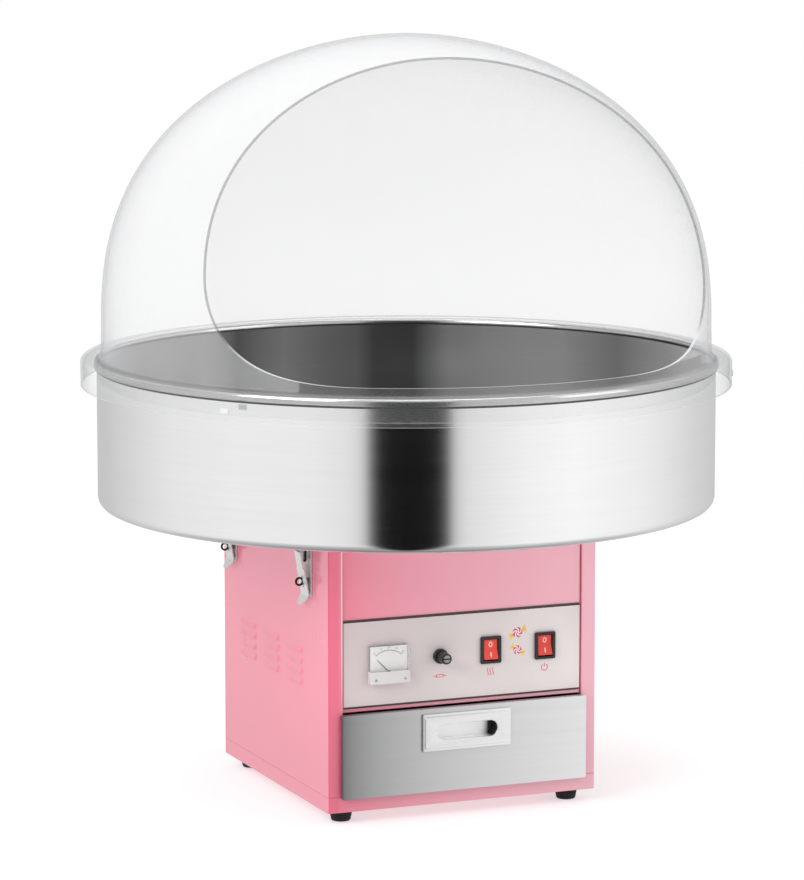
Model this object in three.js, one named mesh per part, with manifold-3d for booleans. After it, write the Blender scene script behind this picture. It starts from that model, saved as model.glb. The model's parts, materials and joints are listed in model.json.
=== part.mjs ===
// Electric candy floss machine: a sheet metal cabinet with a drawer and controls, a spinning head,
// a 28 inch bowl held by four toggle latches, and a clear bubble cover with an open front.
// Millimetres. z = 0 is the floor, the bowl's axis is x = y = 0, and the front faces -Y.

import * as THREE from 'three';
import { mergeVertices } from 'three/addons/utils/BufferGeometryUtils.js';
import Module from 'manifold-3d';

const wasm = await Module();
wasm.setup();

// Fits
const fit = 0.3; // between two pieces that touch
const running = 0.5; // round what turns or slides

// Cabinet
const footHeight = 14;
const footTopRadius = 13.5;
const footBottomRadius = 10.8;
const footInset = 25; // from the cabinet's faces to a foot's middle
const panHeight = 18;
const panFlange = 12;
const cabinetWidth = 328;
const cabinetDepth = 337;
const shellHeight = 298;
const sheet = 1.5;
const bendRadius = 3;
const frontFlange = 18; // width of the shell's front faces, beside the panel
const flangeReturn = 10; // how far those faces fold back
const panelRecess = 3;
const panelReturn = 7;
const deckThickness = 2;
const deckHoleRadius = 45;
const deckLip = 12;
const shelfLip = 10;
const bayHeight = 95.2; // the drawer's opening
const shelfRise = 2; // from the drawer's opening to the shelf

// Louvres
const louvreLength = 47;
const louvreHeight = 7.4;
const louvreRise = 3.4;
const louvreSkin = 1;
const louvrePitch = 12.2;
const louvreRows = 4;
const louvreLow = 151; // height of the lowest row
const louvreColumns = 3;
const louvreColumnPitch = 75;
const louvreMiddle = 7; // y of the middle column

// Rear service cover and cable inlet
const doorwayWidth = 200;
const doorwayHeight = 160;
const doorwayBottom = 140;
const doorwayOffset = -30;
const rearCoverLap = 12; // over the doorway's edge
const rearCoverSheet = 1.2;
const glandRadius = 11;
const glandBore = 5;
const glandInset = 42; // from the cabinet's right side
const glandHeight = 170;
const glandShank = 8; // inside the cabinet
const glandNut = 5;
const glandNose = 18;

// Front controls
const fasciaThickness = 0.8;
const fasciaHeight = 100.4;
const fasciaMargin = 1.5; // beside the front flanges
const fasciaLift = 4.1; // above the drawer's opening
const meterInset = 54.5; // from the opening's left edge to the meter's middle
const meterZ = 180;
const meterWidth = 48;
const meterHeight = 44;
const meterDepth = 9.6;
const meterWall = 1.2;
const meterBarrel = 19.3;
const meterBarrelDepth = 25;
const meterFlange = 2;
const dialThickness = 0.8;
const needleLength = 20;
const needleThickness = 0.5;
const needleDrop = 9; // from the meter's middle down to the needle's pivot
const needleRestAngle = 45; // the needle leans this far to the left at zero
const fusePitch = 63.5; // from the meter's middle to the fuse
const fuseZ = 183.3;
const fuseFlangeRadius = 8.5;
const fuseFlange = 5;
const fuseBarrel = 6.4;
const fuseBarrelDepth = 34;
const fuseBore = 5.2;
const fuseCapRadius = 6.2;
const fuseCapLength = 15;
const fuseSkirt = 11;
const cartridgeRadius = 2.6;
const cartridgeLength = 20;
const switchInset = 45.3; // from the opening's right edge to the power switch
const switchPitch = 66.9;
const switchZ = 185.7;
const switchWidth = 25;
const switchHeight = 31;
const bezelDepth = 2.5;
const switchBodyWidth = 21;
const switchBodyHeight = 27.6;
const switchBodyDepth = 25;
const rockerWidth = 17;
const rockerHeight = 23.4;
const rockerTilt = 8; // degrees to each side of the middle

// Drawer
const drawerLap = 3; // over the front flanges, each side
const drawerDrop = 2; // over the pan's edge
const drawerProud = 7.7;
const drawerSheet = 1.2;
const trayHalfWidth = 137;
const trayDepth = 270;
const trayBottom = 36;
const trayHeight = 76;
const railHeight = 7;
const railLift = 28; // from the tray's floor to its side rails
const runnerLip = 1.5;
const runnerLength = 262;
const pullWidth = 108.5;
const pullHeight = 42.7;
const pullPlate = 1.6;
const pullStep = 3.2; // width of the lower step round the pull's face
const pullZ = 98.5;
const slotLength = 74.5;
const slotHeight = 18;
const slotDepth = 14;
const slotWall = 1.5;

// Bowl
const bowlRadius = 355.6;
const bowlDepth = 168.7;
const bowlSheet = 1.2;
const bowlCorner = 12;
const beadWidth = 4.4;
const beadHeight = 10;
const bowlHoleRadius = 88;
const collarHeight = 14;
const collarBend = 5;

// Bubble cover
const coverThickness = 2.5;
const skirtRoom = 12.7; // from the bowl's bead to the skirt
const skirtDrop = 28.2; // below the bowl's rim
const shoulderRadius = 5.5;
const flangeWidth = 18.7; // from the wall to the skirt's shoulder
const domeShoulder = 37.6; // straight wall above the bowl's rim
const wallFlare = 0.8; // how much wider the wall is at its foot
const wallBend = 6; // between the wall and the flange
const domeRise = 332.7;
const domeFlat = 2.451; // higher is a flatter crown
const domeFull = 1.907; // higher is a fuller side
const mouthTurn = -3.7; // degrees that the cover is turned on the bowl
const mouthSill = 11; // above the bowl's rim
const mouthForward = 205; // where the sloping cut would meet the sill
const mouthLean = 13.3; // degrees
const mouthCornerRadius = 140;
const nubTurns = [-54, 66, 186]; // degrees round the ring
const nubWidth = 11;
const nubHeight = 6;
const nubProud = 1.6;
const nubDrop = 18; // below the bowl's rim

// Drive
const motorRadius = 52;
const motorHeight = 100;
const bracketDrop = 57; // from the deck to the bracket's plate
const bracketHalfWidth = 80;
const bracketDepth = 110;
const bracketFoot = 22;
const bracketSheet = 2.5;
const bracketHole = 20;
const spindleRadius = 6;
const spindleInMotor = 20;
const slipRadius = 15;
const slipRingRadius = 18;
const slipHeight = 30;
const slipRingHeight = 6;
const brushWidth = 8;
const brushLength = 14;
const brushPostWidth = 24;
const brushPostDepth = 14;

// Spinning head
const headRadius = 75;
const headWall = 2.5;
const headFloor = 20; // from the deck to the head's floor
const headRim = 8;
const hubRadius = 14;
const hubLength = 32;
const bandHeight = 40;
const bandThickness = 1.2;
const bandSlots = 26;
const bandSlotWidth = 3;
const bandSlotHeight = 27;
const ribbonRadius = 61;
const ribbonWave = 3;
const ribbonWaves = 20;
const ribbonThickness = 1.2;
const ribbonHeight = 22;
const cupTopRadius = 40;
const cupBottomRadius = 30;
const cupHeight = 34;
const cupWall = 1.2;
const capThickness = 2;
const capHole = 36;
const capCollar = 6;

// Toggle latches
const latchFrontInset = 58.5; // from the cabinet's front to the front latches
const latchRearInset = 35.5; // from the cabinet's back to the rear latches
const latchPlateWidth = 25;
const latchPlateHeight = 56;
const latchPlateSheet = 1.5;
const latchPivotOut = 8; // from the cabinet's side to the lever's pivot
const latchPivotDrop = 30; // from the deck's top down to the pivot
const latchPinRadius = 1.6;
const earInner = 5.5;
const earThickness = 1.5;
const earRadius = 3.4; // clears the lever's face as it swings
const leverSheet = 1.5;
const leverWidth = 23;
const leverNeck = 9; // half the lever's width beside the bail
const leverReach = 58.5; // from the pivot down to the tip
const bailArm = 8; // from the lever's pivot to the bail's pivot
const bailLength = 24;
const bailWire = 1.5;
const bailHalfWidth = 11.2;
const eyeRadius = 5.2;
const eyeHole = 3;
const eyeOut = 11;
const eyeDrop = 33; // below the lever's pivot
const keeperWidth = 16;
const keeperSheet = 1.5;
const keeperBack = 3.5; // from the bail's bar to the keeper's back, for its swing
const keeperMouth = 4.2; // from the bail's bar to the keeper's lip
const keeperLip = 2; // height of the lip over the bar's middle

// Places that follow from the sizes above
const halfWidth = cabinetWidth / 2;
const halfDepth = cabinetDepth / 2;
const panTop = footHeight + panHeight;
const shellTop = panTop + shellHeight;
const deckTop = shellTop + deckThickness;
const frontFace = -halfDepth;
const panelFace = frontFace + panelRecess;
const fasciaFace = panelFace - fit - fasciaThickness;
const controlFace = fasciaFace - fit;
const openingHalf = halfWidth - frontFlange;
const glandX = halfWidth - glandInset;
const meterX = meterInset - openingHalf;
const fuseX = meterX + fusePitch;
const powerSwitchX = openingHalf - switchInset;
const switchXs = [powerSwitchX - switchPitch, powerSwitchX];
const bayTop = panTop + bayHeight;
const shelfBottom = bayTop + shelfRise;
const fasciaBottom = bayTop + fasciaLift;
const bowlBottom = deckTop + fit;
const rimTop = bowlBottom + bowlDepth;
const coverSeat = rimTop + fit;
const beadMiddle = bowlRadius - bowlSheet + beadWidth / 2;
const ringRadius = beadMiddle + beadWidth / 2 + skirtRoom + coverThickness;
const domeRadius = ringRadius - shoulderRadius - flangeWidth;
const bracketBottom = deckTop - bracketDrop;
const spindleTop = deckTop + headFloor - fit;
const headFloorTop = deckTop + headFloor;
const drawerFace = frontFace - fit - drawerProud;
const railTop = trayBottom + railLift + railHeight;
const latchYs = [latchFrontInset - halfDepth, halfDepth - latchRearInset];
const latchPivotZ = deckTop - latchPivotDrop;
const bailBarZ = latchPivotZ - bailArm + bailLength;
const degree = Math.PI / 180;

// A closed mesh as a solid for joining and cutting
function solidOf(geometry) {
  const bare = geometry.clone();
  bare.deleteAttribute('normal');
  bare.deleteAttribute('uv');
  const merged = mergeVertices(bare, 1e-4);
  const corners = merged.attributes.position;
  const index = merged.index.array;
  const faces = [];
  const point = [new THREE.Vector3(), new THREE.Vector3(), new THREE.Vector3()];
  let volume = 0;
  for (let i = 0; i < index.length; i += 3) {
    const [a, b, c] = [index[i], index[i + 1], index[i + 2]];
    if (a === b || b === c || c === a) continue;
    [a, b, c].forEach((corner, k) => point[k].fromBufferAttribute(corners, corner));
    volume += point[0].dot(point[1].clone().cross(point[2]));
    faces.push(a, b, c);
  }
  if (volume < 0) faces.reverse();
  const vertProperties = new Float32Array(corners.array);
  const triVerts = new Uint32Array(faces);
  return new wasm.Manifold(new wasm.Mesh({ numProp: 3, vertProperties, triVerts }));
}

function geometryOf(solid) {
  const mesh = solid.getMesh();
  const geometry = new THREE.BufferGeometry();
  geometry.setAttribute('position', new THREE.BufferAttribute(new Float32Array(mesh.vertProperties), 3));
  geometry.setIndex(new THREE.BufferAttribute(new Uint32Array(mesh.triVerts), 1));
  geometry.computeVertexNormals();
  return geometry;
}

function join(first, ...others) {
  return geometryOf(others.reduce((sum, next) => sum.add(solidOf(next)), solidOf(first)));
}

function cut(first, ...tools) {
  return geometryOf(tools.reduce((rest, next) => rest.subtract(solidOf(next)), solidOf(first)));
}

function overlapOf(first, second) {
  return geometryOf(solidOf(first).intersect(solidOf(second)));
}

// A box between two corners
function block([x0, y0, z0], [x1, y1, z1]) {
  const geometry = new THREE.BoxGeometry(x1 - x0, y1 - y0, z1 - z0);
  return geometry.translate((x0 + x1) / 2, (y0 + y1) / 2, (z0 + z1) / 2);
}

// A flat shape pushed along an axis: x takes (y, z), y takes (x, z) and z takes (x, y)
function push(shape, axis, from, to, curveSegments = 4) {
  const geometry = new THREE.ExtrudeGeometry(shape, { depth: to - from, bevelEnabled: false, curveSegments });
  const x = new THREE.Vector3(1, 0, 0);
  const y = new THREE.Vector3(0, 1, 0);
  const z = new THREE.Vector3(0, 0, 1);
  const frame = new THREE.Matrix4();
  if (axis === 'x') frame.makeBasis(y, z, x).setPosition(from, 0, 0);
  if (axis === 'y') frame.makeBasis(x, z, y).setPosition(0, from, 0);
  if (axis === 'z') frame.makeBasis(x, y, z).setPosition(0, 0, from);
  return geometry.applyMatrix4(frame);
}

// A profile of radius and height turned round the z axis
function turn(profile, segments) {
  const points = profile.map((p) => (Array.isArray(p) ? new THREE.Vector2(p[0], p[1]) : p));
  return new THREE.LatheGeometry(points, segments).rotateX(Math.PI / 2);
}

// A round bar along an axis, given its start and end on that axis
function rod(radius, axis, from, to, segments = 20) {
  const geometry = new THREE.CylinderGeometry(radius, radius, to - from, segments);
  geometry.translate(0, (from + to) / 2, 0);
  if (axis === 'x') geometry.rotateZ(-Math.PI / 2);
  if (axis === 'z') geometry.rotateX(Math.PI / 2);
  return geometry;
}

// A closed outline through corner points, each corner rounded by its own radius
function outline(corners) {
  const shape = new THREE.Shape();
  const count = corners.length;
  corners.forEach(([x, y, radius = 0], i) => {
    const corner = new THREE.Vector2(x, y);
    const [px, py] = corners[(i + count - 1) % count];
    const [nx, ny] = corners[(i + 1) % count];
    const back = new THREE.Vector2(px - x, py - y).normalize();
    const ahead = new THREE.Vector2(nx - x, ny - y).normalize();
    const half = back.angleTo(ahead) / 2;
    const length = radius > 0 ? radius / Math.tan(half) : 0;
    const start = corner.clone().addScaledVector(back, length);
    const end = corner.clone().addScaledVector(ahead, length);
    if (i === 0) shape.moveTo(start.x, start.y);
    else shape.lineTo(start.x, start.y);
    if (radius > 0) shape.quadraticCurveTo(x, y, end.x, end.y);
  });
  shape.closePath();
  return shape;
}

function rectangle(width, height, radius = 0, x = 0, y = 0) {
  const [w, h] = [width / 2, height / 2];
  return outline([
    [x - w, y - h, radius],
    [x + w, y - h, radius],
    [x + w, y + h, radius],
    [x - w, y + h, radius],
  ]);
}

function stadium(length, height, x, y) {
  const shape = new THREE.Shape();
  const radius = height / 2;
  const reach = length / 2 - radius;
  shape.absarc(x + reach, y, radius, -Math.PI / 2, Math.PI / 2, false);
  shape.absarc(x - reach, y, radius, Math.PI / 2, (3 * Math.PI) / 2, false);
  shape.closePath();
  return shape;
}

const finishes = {
  pinkPaint: { color: 0xf5a9b8, roughness: 0.42, metalness: 0.1 },
  steel: { color: 0xc9cacb, roughness: 0.32, metalness: 0.95 },
  zinc: { color: 0xcfd1d2, roughness: 0.28, metalness: 0.95 },
  aluminium: { color: 0xb9bcbf, roughness: 0.4, metalness: 0.9 },
  brass: { color: 0xc29a4a, roughness: 0.35, metalness: 0.95 },
  rubber: { color: 0x171717, roughness: 0.8, metalness: 0 },
  blackPlastic: { color: 0x1c1b1c, roughness: 0.45, metalness: 0 },
  paleFascia: { color: 0xdcd2d2, roughness: 0.4, metalness: 0 },
  whitePlastic: { color: 0xecebe6, roughness: 0.4, metalness: 0 },
  redRocker: { color: 0xd8352a, roughness: 0.25, metalness: 0 },
  clearPlastic: { color: 0xf4f6f7, roughness: 0.06, metalness: 0, transparent: true, opacity: 0.2 },
  glass: { color: 0xe8eeee, roughness: 0.05, metalness: 0, transparent: true, opacity: 0.35 },
  darkMetal: { color: 0x54565a, roughness: 0.5, metalness: 0.8 },
};

function piece(group, name, geometry, finish) {
  const closed = geometryOf(solidOf(geometry));
  const mesh = new THREE.Mesh(closed, new THREE.MeshStandardMaterial(finishes[finish]));
  mesh.name = name;
  group.add(mesh);
  return mesh;
}

// One pressed louvre on a wall in the plane x = 0, hood towards +x and mouth down
function louvreHood() {
  const [half, high] = [louvreLength / 2, louvreHeight / 2];
  const section = outline([[-sheet, -high], [louvreRise, -high], [0, high], [-sheet, high]]);
  const plan = outline([
    [-sheet, -half],
    [0, -half],
    [louvreRise, -half + louvreRise],
    [louvreRise, half - louvreRise],
    [0, half],
    [-sheet, half],
  ]);
  return overlapOf(push(section, 'y', -half, half), push(plan, 'z', -high, high));
}

function louvreSlot() {
  const [half, high] = [louvreLength / 2 - 2 * louvreSkin, louvreHeight / 2];
  const deep = sheet + 1;
  const section = outline([
    [-deep, -high],
    [0, -high],
    [0, -high - 1],
    [louvreRise - louvreSkin, -high - 1],
    [0, high - 2 * louvreSkin],
    [-deep, high - 2 * louvreSkin],
  ]);
  return push(section, 'y', -half, half);
}

// Louvres in rows and columns, as hoods to add and slots to cut, where place puts each on its wall
function louvreField(columns, rows, pitch, place) {
  const hoods = [];
  const slots = [];
  for (let column = 0; column < columns; column += 1) {
    for (let row = 0; row < rows; row += 1) {
      const along = (column - (columns - 1) / 2) * pitch;
      const up = row * louvrePitch;
      hoods.push(place(louvreHood().translate(0, along, up)));
      slots.push(place(louvreSlot().translate(0, along, up)));
    }
  }
  return { hoods, slots };
}

// Cabinet
function cabinetShell() {
  const [x, y, t] = [halfWidth, halfDepth, sheet];
  const inset = openingHalf;
  const backFold = -y + flangeReturn;
  const plan = outline([
    [-inset, -y, 1],
    [-x, -y, bendRadius],
    [-x, y, bendRadius],
    [x, y, bendRadius],
    [x, -y, bendRadius],
    [inset, -y, 1],
    [inset, backFold],
    [inset + t, backFold],
    [inset + t, -y + t],
    [x - t, -y + t, bendRadius - t],
    [x - t, y - t, bendRadius - t],
    [-x + t, y - t, bendRadius - t],
    [-x + t, -y + t, bendRadius - t],
    [-inset - t, -y + t],
    [-inset - t, backFold],
    [-inset, backFold],
  ]);
  const wrap = push(plan, 'z', panTop + fit, shellTop - fit, 2);
  const right = louvreField(louvreColumns, louvreRows, louvreColumnPitch, (g) =>
    g.translate(halfWidth, louvreMiddle, louvreLow));
  const left = louvreField(louvreColumns, louvreRows, louvreColumnPitch, (g) =>
    g.rotateZ(Math.PI).translate(-halfWidth, louvreMiddle, louvreLow));
  const doorway = push(
    rectangle(doorwayWidth, doorwayHeight, 6, doorwayOffset, doorwayBottom + doorwayHeight / 2),
    'y', y - 2 * t, y + t);
  const inlet = rod(glandBore + 2 + fit, 'y', y - 2 * t, y + t).translate(glandX, 0, glandHeight);
  const pressed = join(wrap, ...right.hoods, ...left.hoods);
  return cut(pressed, ...right.slots, ...left.slots, doorway, inlet);
}

function basePan() {
  const outer = push(rectangle(cabinetWidth, cabinetDepth, bendRadius), 'z', footHeight, panTop, 2);
  const inner = push(
    rectangle(cabinetWidth - 2 * sheet, cabinetDepth - 2 * sheet, bendRadius - sheet),
    'z', footHeight + sheet, panTop - sheet, 2);
  const mouth = push(
    rectangle(cabinetWidth - 2 * panFlange, cabinetDepth - 2 * panFlange, bendRadius),
    'z', panTop - 2 * sheet, panTop + sheet, 2);
  return cut(outer, inner, mouth);
}

function topDeck() {
  const plate = push(rectangle(cabinetWidth, cabinetDepth, bendRadius), 'z', shellTop, deckTop, 2);
  const lipOut = halfWidth - sheet - fit;
  const lipLength = halfDepth - 2 * frontFlange;
  const lips = [-1, 1].map((side) => block(
    [Math.min(side * lipOut, side * (lipOut - sheet)), -lipLength, shellTop - deckLip],
    [Math.max(side * lipOut, side * (lipOut - sheet)), lipLength, shellTop + sheet / 2]));
  const hole = rod(deckHoleRadius, 'z', shellTop - 1, deckTop + 1, 32);
  return cut(join(plate, ...lips), hole);
}

function frontPanel() {
  const edge = openingHalf - fit;
  const fold = panelFace + panelReturn;
  const plan = outline([
    [-edge, panelFace, sheet],
    [edge, panelFace, sheet],
    [edge, fold],
    [edge - sheet, fold],
    [edge - sheet, panelFace + sheet],
    [-edge + sheet, panelFace + sheet],
    [-edge + sheet, fold],
    [-edge, fold],
  ]);
  return cut(push(plan, 'z', bayTop, shellTop - fit, 2), ...controlHoles(panelFace - 1, panelFace + sheet + 1));
}

// Holes for the meter, the fuse holder and the switches, shared by the panel and its fascia
function controlHoles(from, to) {
  const holes = [
    rod(meterBarrel + fit, 'y', from, to, 24).translate(meterX, 0, meterZ),
    rod(fuseBarrel + fit, 'y', from, to, 16).translate(fuseX, 0, fuseZ),
  ];
  for (const x of switchXs) {
    const [w, h] = [switchBodyWidth / 2 + fit, switchBodyHeight / 2 + fit];
    holes.push(block([x - w, from, switchZ - h], [x + w, to, switchZ + h]));
  }
  return holes;
}

function controlFascia() {
  const width = 2 * (openingHalf - fasciaMargin);
  const plate = push(
    rectangle(width, fasciaHeight, 2, 0, fasciaBottom + fasciaHeight / 2),
    'y', fasciaFace, fasciaFace + fasciaThickness, 2);
  return cut(plate, ...controlHoles(fasciaFace - 1, fasciaFace + fasciaThickness + 1));
}

function compartmentShelf() {
  const x = halfWidth - sheet - fit;
  const section = outline([
    [-x, shelfBottom, sheet],
    [x, shelfBottom, sheet],
    [x, shelfBottom + shelfLip],
    [x - sheet, shelfBottom + shelfLip],
    [x - sheet, shelfBottom + sheet],
    [-x + sheet, shelfBottom + sheet],
    [-x + sheet, shelfBottom + shelfLip],
    [-x, shelfBottom + shelfLip],
  ]);
  return push(section, 'y', frontFace + flangeReturn + fit, halfDepth - bendRadius - fit, 2);
}

function rearCover() {
  const width = doorwayWidth + 2 * rearCoverLap;
  const height = doorwayHeight + 2 * rearCoverLap;
  const middle = doorwayBottom + doorwayHeight / 2;
  const face = halfDepth + fit + rearCoverSheet;
  const plate = push(rectangle(width, height, 4, doorwayOffset, middle), 'y', halfDepth + fit, face, 2);
  const field = louvreField(2, louvreRows, louvreColumnPitch, (g) =>
    g.rotateZ(Math.PI / 2).translate(doorwayOffset, face, middle - 1.5 * louvrePitch));
  const inside = block(
    [doorwayOffset - width, halfDepth - 9, middle - height],
    [doorwayOffset + width, halfDepth + fit, middle + height]);
  return cut(join(plate, ...field.hoods), ...field.slots, inside);
}

function cordGland() {
  const wall = sheet + 2 * fit;
  const profile = [
    [glandBore, -glandShank],
    [glandBore + 2, -glandShank],
    [glandBore + 2, wall],
    [glandRadius, wall],
    [glandRadius, wall + glandNut],
    [glandBore + 4, wall + glandNut + 3],
    [glandBore + 2.5, wall + glandNose],
    [glandBore, wall + glandNose],
    [glandBore, -glandShank],
  ];
  return turn(profile, 14).rotateX(-Math.PI / 2).translate(glandX, halfDepth - sheet - fit, glandHeight);
}

function foot(x, y) {
  const top = footHeight - fit;
  const profile = [
    [0, 7],
    [4.5, 7],
    [4.5, 0],
    [footBottomRadius - 1, 0],
    [footBottomRadius, 1],
    [footTopRadius - 0.5, top - 2],
    [footTopRadius, top - 1],
    [footTopRadius, top],
    [0, top],
  ];
  return turn(profile, 12).translate(x, y, 0);
}

// Drawer
function drawerRunner(side) {
  const wall = halfWidth - sheet - fit;
  const inner = trayHalfWidth + fit + 1;
  const low = trayBottom + railLift - fit - runnerLip;
  const high = railTop + running + runnerLip;
  const section = outline([
    [inner, low],
    [wall, low],
    [wall, high],
    [inner, high],
    [inner, high - runnerLip],
    [wall - sheet, high - runnerLip],
    [wall - sheet, low + runnerLip],
    [inner, low + runnerLip],
  ]);
  const start = frontFace + flangeReturn + 2;
  const runner = push(section, 'y', start, start + runnerLength);
  return side > 0 ? runner : runner.scale(-1, 1, 1);
}

const pullPocket = () => stadium(slotLength + 2 * slotWall, slotHeight + 2 * slotWall, 0, pullZ);
const pullPocketHole = () => stadium(
  slotLength + 2 * slotWall + 2 * fit, slotHeight + 2 * slotWall + 2 * fit, 0, pullZ);

function drawerTray() {
  const front = drawerFace + drawerSheet + fit;
  const back = front + trayDepth;
  const [w, t, z0, z1] = [trayHalfWidth, drawerSheet, trayBottom, trayBottom + trayHeight];
  const body = block([-w, front, z0], [w, back, z1]);
  const hollow = block([-w + t, front + t, z0 + t], [w - t, back - t, z1 + 1]);
  const railOut = openingHalf - running;
  const railFront = frontFace + 2;
  const rails = [-1, 1].map((side) => block(
    [Math.min(side * (w - t / 2), side * railOut), railFront, trayBottom + railLift],
    [Math.max(side * (w - t / 2), side * railOut), back - 1, railTop]));
  return cut(join(cut(body, hollow), ...rails), push(pullPocketHole(), 'y', front - 1, front + t + 1));
}

function drawerFront() {
  const half = openingHalf + drawerLap;
  const [z0, z1] = [panTop - drawerDrop, bayTop - running - 1];
  const back = frontFace - fit;
  const middle = (z0 + z1) / 2;
  const t = drawerSheet;
  const outer = push(rectangle(2 * half, z1 - z0, 1.5, 0, middle), 'y', drawerFace, back, 2);
  const inner = block([-half + t, drawerFace + t, z0 + t], [half - t, back + 1, z1 - t]);
  return cut(outer, inner, push(pullPocketHole(), 'y', drawerFace - 1, drawerFace + t + 1));
}

function drawerPull() {
  const back = drawerFace - fit;
  const middle = back - pullPlate;
  const face = middle - pullPlate;
  const lower = push(rectangle(pullWidth, pullHeight, 1, 0, pullZ), 'y', middle, back, 2);
  const raised = push(
    rectangle(pullWidth - 2 * pullStep, pullHeight - 2 * pullStep, 1.5, 0, pullZ), 'y', face, back, 2);
  const pocket = push(pullPocket(), 'y', middle, face + slotDepth + slotWall);
  const hollow = push(stadium(slotLength, slotHeight, 0, pullZ), 'y', face - 1, face + slotDepth);
  return cut(join(lower, raised, pocket), hollow);
}

// Meter
function meterCase() {
  const back = controlFace + meterBarrelDepth;
  const seat = controlFace - meterFlange;
  const [w, h] = [meterWidth / 2 - meterWall - fit, meterHeight / 2 - meterWall - fit];
  const flange = block([-w, seat, -h], [w, controlFace, h]);
  const barrel = rod(meterBarrel, 'y', controlFace - 1, back, 24);
  const cavity = rod(meterBarrel - 2, 'y', seat - 1, back - 2, 24);
  const studs = [-8, 8].map((x) => rod(2, 'y', back - 1, back + 6, 8).translate(x, 0, 0));
  return cut(join(flange, barrel, ...studs), cavity).translate(meterX, 0, meterZ);
}

function meterDial() {
  const back = controlFace - meterFlange - fit;
  const [w, h] = [meterWidth / 2 - meterWall - 2 * fit, meterHeight / 2 - meterWall - 2 * fit];
  return block([-w, back - dialThickness, -h], [w, back, h]).translate(meterX, 0, meterZ);
}

function meterCover() {
  const face = controlFace - meterDepth;
  const shell = push(rectangle(meterWidth, meterHeight, 1.2), 'y', face, controlFace, 2);
  const [w, h] = [meterWidth / 2 - meterWall, meterHeight / 2 - meterWall];
  const hollow = block([-w, face + meterWall, -h], [w, controlFace + 1, h]);
  return cut(shell, hollow).translate(meterX, 0, meterZ);
}

function meterNeedle() {
  const back = controlFace - meterFlange - fit - dialThickness - fit;
  const front = back - needleThickness;
  const blade = outline([[-0.9, -6], [0.9, -6], [0.35, needleLength], [-0.35, needleLength]]);
  const hub = rod(2, 'y', front - 1.5, back, 12);
  const needle = join(push(blade, 'y', front, back), hub);
  return needle.rotateY(-needleRestAngle * degree).translate(meterX, 0, meterZ - needleDrop);
}

// Fuse
function fuseHolder() {
  const front = controlFace - fuseFlange;
  const back = controlFace + fuseBarrelDepth;
  const flange = rod(fuseFlangeRadius, 'y', front, controlFace, 20);
  const barrel = rod(fuseBarrel, 'y', controlFace - 1, back, 16);
  const bore = rod(fuseBore, 'y', front - 1, back - 2, 16);
  return cut(join(flange, barrel), bore).translate(fuseX, 0, fuseZ);
}

function fuseCap() {
  const seat = controlFace - fuseFlange - fit;
  const face = seat - fuseCapLength;
  const head = rod(fuseCapRadius, 'y', face, seat, 20);
  const skirt = rod(fuseBore - running, 'y', seat - 1, seat + fuseSkirt, 16);
  const socket = rod(cartridgeRadius + fit, 'y', seat, seat + fuseSkirt + 1, 12);
  const screwSlot = block([-fuseCapRadius, face - 1, -0.8], [fuseCapRadius, face + 1.6, 0.8]);
  return cut(join(head, skirt), socket, screwSlot).translate(fuseX, 0, fuseZ);
}

function fuseCartridge() {
  const start = controlFace - fuseFlange;
  const profile = [
    [0, 0],
    [cartridgeRadius, 0],
    [cartridgeRadius, 5],
    [cartridgeRadius - 0.4, 5],
    [cartridgeRadius - 0.4, cartridgeLength - 5],
    [cartridgeRadius, cartridgeLength - 5],
    [cartridgeRadius, cartridgeLength],
    [0, cartridgeLength],
  ];
  return turn(profile, 10).rotateX(-Math.PI / 2).translate(fuseX, start, fuseZ);
}

// Switches
const rockerPivot = controlFace + 1.9; // y of the rocker's axis

function switchHousing(x) {
  const back = controlFace + switchBodyDepth;
  const bezel = push(rectangle(switchWidth, switchHeight, 1.2), 'y', controlFace - bezelDepth, controlFace, 2);
  const [w, h] = [switchBodyWidth / 2, switchBodyHeight / 2];
  const body = block([-w, controlFace - 1, -h], [w, back, h]);
  const [pw, ph] = [rockerWidth / 2 + fit, rockerHeight / 2 + 0.8];
  const pocket = block([-pw, controlFace - bezelDepth - 1, -ph], [pw, rockerPivot + 7, ph]);
  const tabs = [-6, 6].map((z) => block([-2.4, back - 1, z - 0.4], [2.4, back + 7, z + 0.4]));
  return cut(join(bezel, body, ...tabs), pocket).translate(x, 0, switchZ);
}

function rocker(x) {
  const high = rockerHeight / 2;
  const section = outline([
    [-3.6, -high, 1],
    [-2.2, 0],
    [-3.6, high, 1],
    [2, high - 0.5],
    [5, 3],
    [5, -3],
    [2, -high + 0.5],
  ]);
  const body = push(section, 'x', -rockerWidth / 2, rockerWidth / 2, 3);
  return body.rotateX(-rockerTilt * degree).translate(x, rockerPivot, switchZ);
}

// Drive
function motorBody() {
  const top = bracketBottom - fit;
  const low = top - motorHeight;
  const r = motorRadius;
  const boreLow = top - spindleInMotor - 1;
  const profile = [
    [0, low],
    [12, low],
    [14, low + 6],
    [r - 6, low + 8],
    [r, low + 14],
    [r, low + 34],
    [r - 3, low + 37],
    [r - 3, top - 30],
    [r, top - 27],
    [r, top - 6],
    [r - 4, top],
    [spindleRadius + running, top],
    [spindleRadius + running, boreLow],
    [0, boreLow],
  ];
  return turn(profile, 20);
}

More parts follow.
